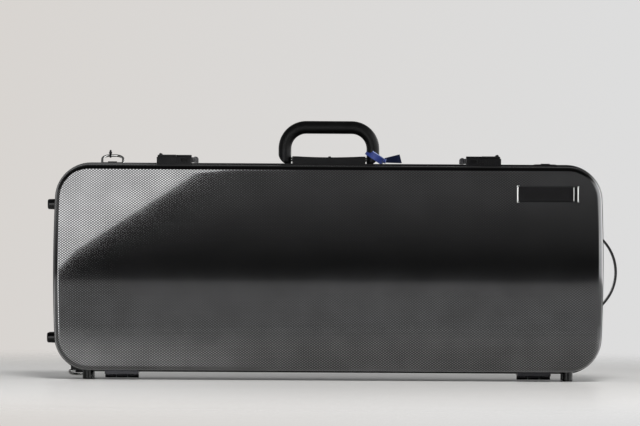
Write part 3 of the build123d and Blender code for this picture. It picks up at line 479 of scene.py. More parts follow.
def moulded_material(name, base, roughness, grain, relief, worn=1.5, coat=0.0, specular=0.3):
    """Moulded plastic: even colour and fine spark-eroded grain, whose size is given in millimetres."""
    material, tree, shader = blank(name)
    spot = node(tree, "TexCoord").outputs["Object"]
    cloud = node(tree, "TexNoise", {"Vector": spot, "Scale": 90.0, "Detail": 3.0})
    pits = node(tree, "TexNoise", {"Vector": spot, "Scale": 1 / (grain * MM), "Detail": 2.0})
    tones = (cloud, darker(base, 0.85), darker(base, worn))
    set_inputs(
        tree, shader,
        {
            "Base Color": node(tree, "Mix", tones, data_type="RGBA"),
            "Roughness": node(tree, "MapRange", (cloud, 0, 1, roughness * 0.8, roughness * 1.25)),
            "Normal": node(tree, "Bump", {"Height": pits, "Strength": relief, "Distance": 0.1 * MM}),
            "Coat Weight": coat, "Coat Roughness": 0.05, "Specular IOR Level": specular,
        },
    )
    return material


def metal_material(name, base, roughness, size):
    """Plated steel wire and sheet: tumbled smooth, with fine marks whose size is given in millimetres."""
    material, tree, shader = blank(name)
    spot = node(tree, "TexCoord").outputs["Object"]
    marks = node(tree, "TexNoise", {"Vector": spot, "Scale": 1 / (size * MM), "Detail": 4.0})
    tones = (marks, darker(base, 0.8), darker(base, 1.1))
    set_inputs(
        tree, shader,
        {
            "Base Color": node(tree, "Mix", tones, data_type="RGBA"),
            "Roughness": node(tree, "MapRange", (marks, 0, 1, roughness * 0.7, roughness * 1.4)),
            "Metallic": 1.0,
        },
    )
    return material


def velvet_material():
    """Cotton velvet over foam: a short pile, deep in its folds and pale where it is seen edge on."""
    material, tree, shader = blank("lining_velvet_pile")
    spot, base = node(tree, "TexCoord").outputs["Object"], colours().velvet
    brushed = node(tree, "TexNoise", {"Vector": spot, "Scale": 35.0, "Detail": 5.0, "Distortion": 0.8})
    # Pile fibres are far too fine to show, so the bump is drawn at 0.8 mm
    pile = node(tree, "TexNoise", {"Vector": spot, "Scale": 1 / (0.8 * MM), "Detail": 2.0})
    tones = (brushed, darker(base, 0.6), darker(base, 1.5))
    set_inputs(
        tree, shader,
        {
            "Base Color": node(tree, "Mix", tones, data_type="RGBA"), "Roughness": 0.95,
            "Normal": node(tree, "Bump", {"Height": pile, "Strength": 0.6, "Distance": 0.4 * MM}),
            "Sheen Weight": 0.8, "Sheen Roughness": 0.35, "Sheen Tint": (0.6, 0.6, 0.65),
        },
    )
    return material


def webbing_material():
    """Polyamide webbing: ribs across the band every 1.2 mm, with the small sheen of woven yarn."""
    material, tree, shader = blank("black_nylon_webbing")
    base = colours().webbing
    uv = node(tree, "UVMap", uv_map="strip")
    across = {"Vector": uv, "Scale": wave_scale(1.2), "Distortion": 0.3, "Detail": 1.0}
    ribs = node(tree, "TexWave", across, bands_direction="X").outputs["Fac"]
    spot = node(tree, "TexCoord").outputs["Object"]
    yarn = node(tree, "TexNoise", {"Vector": spot, "Scale": 1 / (0.5 * MM), "Detail": 2.0})
    height = node(tree, "Math", (ribs, yarn), operation="ADD")
    tones = (ribs, darker(base, 0.6), darker(base, 2.2))
    set_inputs(
        tree, shader,
        {
            "Base Color": node(tree, "Mix", tones, data_type="RGBA"), "Roughness": 0.6,
            "Normal": node(tree, "Bump", {"Height": height, "Strength": 0.5, "Distance": 0.25 * MM}),
            "Sheen Weight": 0.3, "Sheen Roughness": 0.4,
        },
    )
    return material


def ribbon_material():
    """Polyester satin ribbon: a silky blue face, with a highlight painted as a pale band along one edge."""
    material, tree, shader = blank("blue_satin_ribbon")
    base = colours().ribbon
    uv = node(tree, "UVMap", uv_map="strip")
    across = node(tree, "SeparateXYZ", [uv]).outputs[1]
    # Satin floats run along the ribbon, about a quarter of a millimetre apart
    floats = {"Vector": uv, "Scale": 12.0, "Distortion": 0.5}
    threads = node(tree, "TexWave", floats, bands_direction="Y").outputs["Fac"]
    weave = node(tree, "Mix", (threads, darker(base, 0.8), darker(base, 1.15)), data_type="RGBA")
    # A painted highlight: a pale band along one edge of the ribbon
    painted_edge_highlight = (node(tree, "MapRange", (across, 0.9, 0.93)), weave, colours().ribbon_edge_highlight)
    set_inputs(
        tree, shader,
        {
            "Base Color": node(tree, "Mix", painted_edge_highlight, data_type="RGBA"), "Roughness": 0.38,
            "Normal": node(tree, "Bump", {"Height": threads, "Strength": 0.2, "Distance": 0.1 * MM}),
            "Anisotropic": 0.5, "Sheen Weight": 0.2,
        },
    )
    return material


def piping_material():
    """Cotton satin drawn round a cord: a fine slanting weave, smoother than the velvet beside it."""
    material, tree, shader = blank("cotton_satin_piping")
    base = colours().piping
    # The threads are drawn at 0.7 mm, several times their real size
    slant = {"Vector": node(tree, "TexCoord").outputs["Object"], "Scale": wave_scale(0.7), "Distortion": 1.0}
    threads = node(tree, "TexWave", slant, bands_direction="DIAGONAL").outputs["Fac"]
    tones = (threads, darker(base, 0.7), darker(base, 1.2))
    set_inputs(
        tree, shader,
        {
            "Base Color": node(tree, "Mix", tones, data_type="RGBA"), "Roughness": 0.5,
            "Normal": node(tree, "Bump", {"Height": threads, "Strength": 0.3, "Distance": 0.2 * MM}),
            "Sheen Weight": 0.3, "Sheen Roughness": 0.4,
        },
    )
    return material


FINISHES = {}


def finish_of(name):
    """The material of a finish, made once."""
    c = colours()
    makers = {
        "carbon": carbon_material,
        # Moulded ABS rim, polished by its mould, so it throws a thin bright line
        "rim": lambda: moulded_material("rim_gloss_abs", c.rim, 0.16, 0.4, 0.02, 1.3, 0.2, 0.2),
        # Glass-filled nylon with a fine matt grain
        "nylon": lambda: moulded_material("black_moulded_nylon", c.nylon, 0.4, 0.35, 0.25, specular=0.16),
        # Soft-touch thermoplastic rubber, satin and slightly greyer than the nylon
        "grip": lambda: moulded_material("grip_soft_rubber", c.grip, 0.42, 0.3, 0.15, 1.4, specular=0.14),
        # Smooth acetal of the thumb tabs, glossier than the housings
        "tab": lambda: moulded_material("glossy_acetal_tab", c.tab, 0.12, 0.4, 0.02, 1.1, 0.6, 0.6),
        # Hard rubber of the feet, moulded glossy
        "feet": lambda: moulded_material(
            "glossy_foot_rubber", darker(c.rim, 0.7), 0.24, 0.5, 0.03, 1.6, 0.1, 0.2
        ),
        # Extruded rubber seal, dull
        "seal": lambda: moulded_material("seal_epdm_rubber", darker(c.rim, 1.4), 0.6, 0.3, 0.2),
        # Black zinc plate on pressed steel
        "dark_steel": lambda: metal_material("black_plated_steel", linear("#3c3c3f"), 0.28, 0.6),
        # Nickel plate on wire
        "steel": lambda: metal_material("nickel_plated_steel", linear("#c4c4c2"), 0.16, 0.5),
        "velvet": velvet_material,
        "webbing": webbing_material,
        "ribbon": ribbon_material,
        "piping": piping_material,
        # The back of the ribbon, where the satin's floats don't show: dull, and drawn darker as painted shade
        # on the hanging tail
        "ribbon_back_and_shade": lambda: moulded_material(
            "blue_satin_back_in_shade", c.ribbon_back_and_shade, 0.6, 0.4, 0.3, specular=0.2
        ),
    }
    if name not in FINISHES:
        FINISHES[name] = makers[name]()
    return FINISHES[name]


def weave_uv(obj, depth_side, face_y):
    """Lays the weave over a shell: flat on its face, and wrapped outwards over its round edge and walls."""
    layer = obj.data.uv_layers.new(name="weave")
    hx = LENGTH / 2 - END_BOW - CORNER
    hz = HEIGHT / 2 - CORNER
    for loop in obj.data.loops:
        x, y, z = own(obj.data.vertices[loop.vertex_index].co)
        z -= MIDDLE_Z
        depth = max(0.0, depth_side * (face_y - y))
        if depth < EDGE_ROUND:
            angle = math.acos(1 - depth / EDGE_ROUND)
            extra = EDGE_ROUND * (angle - math.sin(angle))
        else:
            extra = EDGE_ROUND * (math.pi / 2 - 1) + depth - EDGE_ROUND
        away = Vector((x - max(-hx, min(hx, x)), z - max(-hz, min(hz, z))))
        if away.length > 1e-6:
            away.normalize()
        layer.data[loop.index].uv = ((x + away.x * extra) * MM, (z + away.y * extra) * MM)


def shell_piece(name, near, far, dome):
    """One moulded shell: a tray with round corners, a rounded outer edge and a slightly domed face."""
    side = 1 if far > near else -1
    obj = outline_block(name, SHELL_INSET, near, far - side * dome, edge_round=EDGE_ROUND)
    with shaping(obj, "FACE", lies_at(1, place(0, near, 0).y)):
        bpy.ops.mesh.delete(type="FACE")
    hz = HEIGHT / 2 - SHELL_INSET - EDGE_ROUND
    for vertex in obj.data.vertices:
        _, y, z = own(vertex.co)
        share = max(0.0, 1 - side * (far - side * dome - y) / EDGE_ROUND)
        v = min(1, abs((z - MIDDLE_Z) / hz))
        vertex.co.y += side * dome * MM * share * (1 - v * v)
    with shaping(obj):
        bpy.ops.mesh.remove_doubles(threshold=1e-6)
        bpy.ops.mesh.normals_make_consistent(inside=False)
    modify(obj, "SOLIDIFY", thickness=WALL * MM, offset=-1, use_even_offset=True)
    smooth(obj, 40)
    modify(obj, "WEIGHTED_NORMAL", keep_sharp=True)
    weave_uv(obj, side, far)
    return obj


class CASE_OT_shells(bpy.types.Operator):
    """Builds the carbon shells of the lid and the base."""

    bl_idname = "case.shells"
    bl_label = "Carbon shells"

    def execute(self, context):
        lid = shell_piece("lid_carbon_shell", -2.8, -LID_DEPTH, shape().dome)
        finish(lid, "lid", "carbon", ["lid_shell"])
        base = shell_piece("base_carbon_shell", 2.8, BASE_DEPTH, shape().dome)
        finish(base, "base", "carbon", ["base_shell"])
        return {"FINISHED"}


def rim_piece(name, inset, near, far):
    """A rim: the outline as a hollow band with eased edges."""
    obj = outline_block(name, inset, near, far)
    width = (RIM_INNER - inset) * MM
    with shaping(obj, "FACE", lies_at(1, place(0, near, 0).y, place(0, far, 0).y)):
        bpy.ops.mesh.inset(thickness=width, depth=0, use_boundary=True)
        bpy.ops.mesh.delete(type="FACE")
    with shaping(obj, "EDGE", lambda e: e.is_boundary):
        bpy.ops.mesh.bridge_edge_loops()
        bpy.ops.mesh.select_all(action="SELECT")
        bpy.ops.mesh.normals_make_consistent(inside=False)
    return obj


class CASE_OT_rims(bpy.types.Operator):
    """Builds the rims that clamp the shells' edges, and finishes the seal between them."""

    bl_idname = "case.rims"
    bl_label = "Rims and seal"

    def execute(self, context):
        for name, body, inset, near, far in (
            ("lid_gloss_rim", "lid", RIM_STEP, -0.3, -RIM_WIDTH),
            ("base_gloss_rim", "base", 0.0, 0.3, RIM_WIDTH),
        ):
            rim = eased(rim_piece(name, inset, near, far), 1.1, 4, 50)
            finish(rim, body, "rim", [name.replace("gloss_", "")])
        paint("seal", "rim_seal")
        return {"FINISHED"}


class CASE_OT_handle(bpy.types.Operator):
    """Builds the carrying handle: soft grip, hard legs, saddle details and pins."""

    bl_idname = "case.handle"
    bl_label = "Carrying handle"

    def execute(self, context):
        grip = self.grip()
        finish(grip, "handle", "grip", ["handle_grip"])
        moulded("handle_eyes", "handle_hard_legs", "handle", "nylon", 0.5)
        saddle = eased(taken("handle_saddle", "handle_moulded_saddle"), 0.5)
        nub = eased(block("nub", (-0.9, 3.1), (20, 32), (318.2, 320.6)), 0.8)
        saddle = joined("handle_moulded_saddle", saddle, nub)
        finish(saddle, "base", "nylon", ["handle_saddle"])
        paint("steel", "handle_core", "handle_pins", "saddle_screws")
        return {"FINISHED"}

    def extend(self, step, size, centre):
        """Draws the grip's open end out by a step in millimetres, and widens or narrows it."""
        bpy.ops.mesh.extrude_region_move(TRANSFORM_OT_translate={"value": Vector(step) * MM})
        bpy.ops.transform.resize(value=(size, size, 1), center_override=centre)

    def grip(self):
        """The grip as a circle drawn round the bail: up, over and down, with both its ends eased."""
        eased_end, rises = 0.9, (0.5, 0.4)
        start = place(LEG_X, HANDLE_Y, GRIP_BREAK - sum(rises))
        only()
        bpy.ops.mesh.primitive_circle_add(vertices=40, radius=GRIP_R * MM, fill_type="NGON", location=start)
        obj = named("handle_soft_grip")
        with shaping(obj, "FACE"):
            bpy.ops.transform.resize(value=(eased_end, eased_end, 1), center_override=start)
            for rise, size in zip(rises, (1 / eased_end, 1.0)):
                self.extend((0, 0, rise), size, place(LEG_X, HANDLE_Y, GRIP_BREAK))
        top = place(0, 0, GRIP_BREAK).z
        with shaping(obj, "FACE", lambda f: all(v.co.z > top - TOUCH for v in f.verts)):
            self.turn(LEG_X - GRIP_BEND)
            bpy.ops.mesh.extrude_region_move(
                TRANSFORM_OT_translate={"value": (2 * (GRIP_BEND - LEG_X) * MM, 0, 0)}
            )
            self.turn(GRIP_BEND - LEG_X)
            for rise, size in zip(reversed(rises), (1.0, eased_end)):
                self.extend((0, 0, -rise), size, place(-LEG_X, HANDLE_Y, GRIP_BREAK))
            bpy.ops.mesh.select_all(action="SELECT")
            bpy.ops.mesh.remove_doubles(threshold=1e-6)
            bpy.ops.mesh.normals_make_consistent(inside=False)
        return smooth(obj, 50)

    def turn(self, x):
        """Spins the grip's open end over one corner of the handle."""
        bpy.ops.mesh.spin(
            steps=16, angle=math.pi / 2, center=place(x, HANDLE_Y, GRIP_BREAK), axis=(0, 1, 0)
        )


class CASE_OT_ribbon(bpy.types.Operator):
    """Ties the ribbon round the handle's right leg."""

    bl_idname = "case.ribbon"
    bl_label = "Ribbon"

    def execute(self, context):
        ribbon = joined("blue_ribbon", self.loop(), self.knot())
        finish(ribbon, "handle", "ribbon", ["handle_ribbon"])
        # The tail has the back's finish, whose darker colour is painted shade
        tail = finish(self.tail(), "handle", "ribbon_back_and_shade")
        return {"FINISHED"}

    # The ribbon's thickness and half of its width
    THICK, HALF = 0.5, 5.0

    def loop(self):
        """The turn round the leg, tilted down to the right."""
        tilt, long, deep = math.radians(33), 14.4, 10.3
        along = Vector((math.cos(tilt), 0, -math.sin(tilt)))
        wide = Vector((math.sin(tilt), 0, math.cos(tilt)))
        middle = Vector((66.6, HANDLE_Y, 320.6))
        stations = []
        for i in range(49):
            angle = math.radians(20 + i * 7.5)
            point = middle + along * long * math.cos(angle) + Vector((0, -deep * math.sin(angle), 0))
            stations.append((point, wide * self.HALF))
        return strip("ribbon_loop", stations, self.THICK, 0)

    def knot(self):
        """The short wrap that gathers the loop's ends."""
        middle, gathered = Vector((79.6, 24.0, 314.6)), Vector((2.3, 0, -0.9))
        stations = []
        for i in range(25):
            angle = math.radians(i * 15)
            around = Vector((0.5 * math.cos(angle), 2.4 * math.sin(angle), 3.0 * math.cos(angle)))
            stations.append((middle + around, gathered))
        return strip("ribbon_knot", stations, self.THICK, 0)

    def tail(self):
        """The loose end, with a slow twist and a slanting cut."""
        start, upper_run, lower_run = 80.0, 21.7, 25.0
        stations = []
        for i in range(17):
            share = i / 16
            upper_y, lower_y = 24.2 - 1.6 * math.sin(3.1 * share), 24.0 + 2.2 * math.sin(2.4 * share)
            upper = Vector((start + upper_run * share, upper_y, 318.6 + 5.4 * share))
            lower = Vector((start + lower_run * share, lower_y, 312.0 - 0.6 * share))
            stations.append(((upper + lower) / 2, (upper - lower) / 2))
        return strip("ribbon_tail", stations, self.THICK, 0)


class CASE_OT_latches(bpy.types.Operator):
    """Builds both latches: keeper, hasp, housing and thumb tab."""

    bl_idname = "case.latches"
    bl_label = "Latches"

    # Cuts in the front block, as limits from the latch's outer end, in depth and in height:
    # the joint between its halves, the window of the inner half, and the fine ribs of the outer half
    JOINT = ((29.2, 30.6), (-27, -24.6), (309, 321))
    WINDOW = ((34.4, 43.8), (-27, -21), (311, 316))
    RIBS = [((5 + 2.6 * i, 5.9 + 2.6 * i), (-27, -25.5), (308, 316.4)) for i in range(9)]

    def cutter(self, side, along, deep, high):
        x = [side * (LATCH_OUTER - u) for u in along]
        return block("latch_cutter", x, deep, high)

    def execute(self, context):
        for end, side in (("left", -1), ("right", 1)):
            keeper = f"latch_keeper_{end}"
            cuts = [self.cutter(side, *limits) for limits in (self.JOINT, self.WINDOW, *self.RIBS)]
            moulded(keeper, f"latch_front_block_{end}", "lid", "nylon", 0.45, cuts)
            moulded(f"latch_housing_{end}", f"latch_back_block_{end}", "base", "nylon", 0.45)
            moulded(f"latch_hasp_{end}", f"latch_plate_{end}", f"hasp_{end}", "nylon", 0.4)
            moulded(f"latch_slide_{end}", f"latch_thumb_tab_{end}", f"slide_{end}", "tab", 0.9)
        paint("steel", "hasp_pins", "slide_springs")
        paint("dark_steel", "latch_rivets_base", "latch_rivets_lid")
        return {"FINISHED"}


class CASE_OT_strap_rings(bpy.types.Operator):
    """Finishes the strap rings, their mounts and the cable tie."""

    bl_idname = "case.strap_rings"
    bl_label = "Strap rings"

    def execute(self, context):
        for node_name in ("top_ring_mount_left", "top_ring_mount_right", "spine_ring_mount"):
            moulded(node_name, f"moulded_{node_name}", "base", "nylon", 0.4)
        paint("steel", "top_ring_left", "top_ring_right", "spine_ring")
        moulded("cable_tie", "cut_cable_tie", "ring_top_left", "nylon", 0.2)
        return {"FINISHED"}


class CASE_OT_hinges(bpy.types.Operator):
    """Finishes the hinges along the spine."""

    bl_idname = "case.hinges"
    bl_label = "Hinges"

    def execute(self, context):
        for end in ("left", "right"):
            for body in ("base", "lid"):
                node_name = f"hinge_{body}_leaf_{end}"
                moulded(node_name, f"pressed_{node_name}", body, "dark_steel", 0.3)
        paint("steel", "hinge_pins")
        paint("dark_steel", "hinge_rivets_base", "hinge_rivets_lid")
        return {"FINISHED"}


class CASE_OT_feet(bpy.types.Operator):
    """Finishes the feet on the spine and on the left end."""

    bl_idname = "case.feet"
    bl_label = "Feet"

    def execute(self, context):
        paint("feet", "end_feet", "spine_feet_lid", "spine_feet_base")
        return {"FINISHED"}


class CASE_OT_end_handle(bpy.types.Operator):
    """Builds the strap handle on the right-hand end."""

    bl_idname = "case.end_handle"
    bl_label = "End handle"

    def execute(self, context):
        # The strap's line lies half of its thickness off the wall and inside its reach
        wall, reach = LENGTH / 2 - SHELL_INSET + 0.75, GRAB_REACH - 2
        low, high = GRAB_Z - GRAB_HALF, GRAB_Z + GRAB_HALF
        bow = arc((wall, low + 2), (reach, GRAB_Z), (wall, high - 2), 44)
        flat = [(wall, low - under) for under in (15, 8, 2)]
        line = flat + bow + [(wall, high + over) for over in (2, 8, 15)]
        half_width = (0, 12.5, 0)
        strap = strip("woven_end_strap", [((x, GRAB_Y, z), half_width) for x, z in line], 3.0, 0.6)
        finish(strap, "base", "webbing", ["grab_strap"])
        moulded("grab_plates", "end_strap_plates", "base", "nylon", 0.3)
        paint("dark_steel", "grab_screws")
        return {"FINISHED"}


class CASE_OT_name_plate(bpy.types.Operator):
    """Builds the bare name plate on the lid."""

    bl_idname = "case.name_plate"
    bl_label = "Name plate"

    FRONT = -LID_DEPTH - PLATE_THICK

    # End bars, as the start from the plate's left end, the width and half of the height
    BARS = (("left", 0.0, 4.4, 11.9), ("right", 80.8, 4.2, 9.6), ("edge", 86.6, 2.1, 11.2))

    def plate(self, name, half, high, corner, back, front):
        obj = block(name, (PLATE_X - half, PLATE_X + half), (back, front), (PLATE_Z - high, PLATE_Z + high))
        with shaping(obj, "EDGE", edge_along(1)):
            bpy.ops.mesh.bevel(offset=corner * MM, segments=6, affect="EDGES")
        return obj

    def execute(self, context):
        border, sunk = 1.9, 0.9
        rim = self.plate("badge_rim", PLATE_HALF, 11.6, 3.0, 1.4 - LID_DEPTH, self.FRONT)
        with shaping(rim, "FACE", lies_at(1, place(0, self.FRONT, 0).y)):
            bpy.ops.mesh.inset(thickness=border * MM, depth=-sunk * MM)
        finish(eased(rim, 0.45), "lid", "rim", ["name_plate"])
        field = self.plate("badge_field", PLATE_HALF - 1.8, 9.8, 1.6, 0.5 - LID_DEPTH, self.FRONT + 0.35)
        finish(eased(field, 0.6), "lid", "feet")
        for name, start, width, high in self.BARS:
            self.bar(f"badge_cap_{name}", PLATE_X - PLATE_HALF + start, width, high)
        return {"FINISHED"}

    def bar(self, name, start, width, high):
        """A bright bar, sloped towards the right-hand end of the case."""
        slope, front, back = 0.31, self.FRONT + 0.1, self.FRONT + 1.9
        obj = block(name, (start, start + width), (back, front), (PLATE_Z - high, PLATE_Z + high))
        right, middle = place(start + width / 2, 0, 0).x, place(0, self.FRONT + 1, 0).y
        for vertex in obj.data.vertices:
            if vertex.co.x > right and vertex.co.y < middle:
                vertex.co.y += slope * width * MM
        return finish(eased(obj, 0.15), "lid", "steel")


class CASE_OT_linings(bpy.types.Operator):
    """Builds the velvet linings, bow holders and straps inside the case."""

    bl_idname = "case.linings"
    bl_label = "Linings"

    def execute(self, context):
        self.soft("base_pad", "base_velvet_foam", "base", 5.0, 9, 0.95)
        piping = self.piping("base_pad", "hollow_piping", PAD_TOP, 2.0)
        finish(piping, "base", "piping")
        self.lid_tray()
        self.quilt()
        self.pockets()
        for name, end in (("left", -1), ("right", 1)):
            self.soft(f"neck_rest_{name}", f"padded_neck_rest_{name}", "base", 2.2, 6, 0.9)
            self.strap(name, end)
        moulded("bow_clips", "moulded_bow_clips", "lid", "nylon", 0.9)
        for i in range(1, 5):
            moulded(f"bow_button_{i}", f"moulded_turn_button_{i}", f"button_{i}", "tab", 0.7)
        return {"FINISHED"}

    def soft(self, node_name, name, body, voxel, rounds, fill):
        """Foam under cloth: the solid in small faces, relaxed so that every edge turns softly."""
        obj = taken(node_name, name)
        modify(obj, "REMESH", mode="VOXEL", voxel_size=voxel * MM, use_smooth_shade=True)
        modify(obj, "SMOOTH", factor=0.5, iterations=rounds)
        finish(obj, body, "velvet", [node_name])
        return obj

    def tube(self, obj, radius):
        """Turns loose edges into a round cord."""
        only(obj)
        bpy.ops.object.convert(target="CURVE")
        cord = bpy.context.object
        cord.data.bevel_depth = radius * MM
        cord.data.bevel_resolution = 2
        bpy.ops.object.convert(target="MESH")
        return smooth(bpy.context.object, 60)

    def piping(self, node_name, name, level, radius):
        """A covered cord along the sharp edges where a lining's hollows meet its face."""
        obj = taken(node_name, name)
        face_y = place(0, level, 0).y

        def rim(edge):
            if len(edge.link_faces) != 2 or not lies_at(1, face_y)(edge):
                return False
            lean = [abs(face.normal.y) for face in edge.link_faces]
            return min(lean) < 0.1 and max(lean) > 0.9

        with shaping(obj, "EDGE", lambda edge: not rim(edge)):
            bpy.ops.mesh.delete(type="EDGE")
        obj.data.transform(Matrix.Translation((0, 0.8 * MM, 0)))
        return self.tube(obj, radius)

    def lid_tray(self):
        """The lid's foam tray, with a soft upper edge."""
        tray = eased(taken("lid_pad", "lid_velvet_tray"), 2.4, 4, 40)
        finish(tray, "lid", "velvet", ["lid_pad"])

    def quilt(self):
        """The quilted pad on the floor of the lid: sewn along its rows, and puffed up between the seams."""
        half_x, half_z, corner, crown = 361.0, 122.0, 22.0, 3.2
        columns, rows = 9, 4
        only()
        bpy.ops.mesh.primitive_grid_add(x_subdivisions=162, y_subdivisions=64, size=1)
        quilt = named("lid_quilted_pad")
        for vertex in quilt.data.vertices:
            x, z = 2 * half_x * vertex.co.x, 2 * half_z * vertex.co.y
            along, across = columns * (vertex.co.x + 0.5), rows * (vertex.co.y + 0.5)
            puff = abs(math.sin(math.pi * along) * math.sin(math.pi * across))
            away = Vector((max(0, abs(x) - half_x + corner), max(0, abs(z) - half_z + corner)))
            if away.length > corner:
                away *= 1 - corner / away.length
                x -= math.copysign(away.x, x)
                z -= math.copysign(away.y, z)
            vertex.co = place(x, LID_FLOOR + 0.3 + crown * puff ** 0.45, MIDDLE_Z + z)
        modify(quilt, "SOLIDIFY", thickness=1.2 * MM, offset=0)
        with shaping(quilt):
            bpy.ops.mesh.normals_make_consistent(inside=False)
        finish(smooth(quilt, 60), "lid", "velvet")

    def pockets(self):
        """Sleeves for the bows' tips: stitched velvet, a little full, bound at the mouth."""
        sleeves, bindings = [], []
        for row, rise in enumerate(BOW_ROWS):
            sleeve, binding = self.pocket(1 if row % 2 == 0 else -1, MIDDLE_Z + rise)
            sleeves.append(sleeve)
            bindings.append(binding)
        sleeve = joined("bow_tip_pockets", *sleeves)
        finish(sleeve, "lid", "velvet", ["bow_pockets"])
        finish(joined("bow_pocket_bindings", *bindings), "lid", "piping")

    def pocket(self, end, z):
        """One sleeve and the cord round its mouth."""
        mouth, back, half, depth = 318.0, 365.5, 14.6, 17.5
        fuller_up, fuller_wide, corner = 1.4, 1.0, 6.0
        top = LID_FLOOR + depth
        obj = block("pocket", (end * mouth, end * back), (LID_FLOOR + 0.3, top), (z - half, z + half))
        along, at_top = edge_along(0), lies_at(1, place(0, top, 0).y)
        with shaping(obj, "EDGE", lambda edge: along(edge) and at_top(edge)):
            bpy.ops.mesh.bevel(offset=corner * MM, segments=6, affect="EDGES")
        with shaping(obj, "FACE", lies_at(0, place(end * mouth, 0, 0).x)):
            bpy.ops.mesh.delete(type="FACE")
        planes = []
        for i in range(1, 10):
            planes.append(((end * (mouth + i * (back - mouth) / 10), 0, 0), (1, 0, 0)))
            planes.append(((0, 0, z - half + i * half / 5), (0, 0, 1)))
        sliced(obj, planes)
        for vertex in obj.data.vertices:
            x, y, high = own(vertex.co)
            full = math.sin(math.pi * min(1, (abs(x) - mouth) / (back - mouth)))
            lift, aside = (y - LID_FLOOR) / depth, (high - z) / half
            vertex.co.y += fuller_up * full * lift * math.cos(aside * math.pi / 2) * MM
            vertex.co.z += fuller_wide * full * math.sin(math.pi * lift) * aside * MM
        binding = copied(obj, "binding")
        with shaping(binding, "EDGE", lambda e: not e.is_boundary):
            bpy.ops.mesh.delete(type="EDGE")
        binding = self.tube(binding, 1.1)
        modify(obj, "SOLIDIFY", thickness=1.6 * MM, offset=-1)
        return smooth(obj, 60), binding

    def strap(self, name, end):
        """A webbing strap over a violin's neck, with its loose end folded back and held by hook tape."""
        band = strip("band", self.run_over_neck(end, 3.2, -46, 46, 32), 1.2, 0.2)
        fold = strip("fold", self.run_over_neck(end, 1.9, 14, 42.8, 12), 1.1, 0.2)
        strap = joined(f"woven_neck_strap_{name}", band, fold)
        finish(strap, "base", "webbing", [f"neck_strap_{name}"])

    def run_over_neck(self, end, y, start, stop, steps):
        """A run of the strap, from start to stop across the neck, which rises a little over the hollow."""
        rise, half_hollow = 1.4, 34
        stations = []
        for i in range(steps + 1):
            across = start + (stop - start) * i / steps
            lift = rise * max(0, 1 - (across / half_hollow) ** 2)
            stations.append(self.across_neck(end, y - lift, across))
        return stations

    def across_neck(self, end, y, across):
        """Where a neck strap lies at one place across the neck: its middle and half of its width."""
        low, high = (Vector(self.on_violin(end, along, y, across)) for along in (352.3, 376.7))
        return (low + high) / 2, (high - low) / 2

    def on_violin(self, end, along, y, across):
        """A point given along a violin's axis, in the left (-1) or right (1) place."""
        x = VIOLIN_X + along * math.cos(VIOLIN_TILT) + across * math.sin(VIOLIN_TILT)
        z = across * math.cos(VIOLIN_TILT) - along * math.sin(VIOLIN_TILT) - VIOLIN_DROP
        return (x, y, MIDDLE_Z + z) if end < 0 else (-x, y, MIDDLE_Z - z)


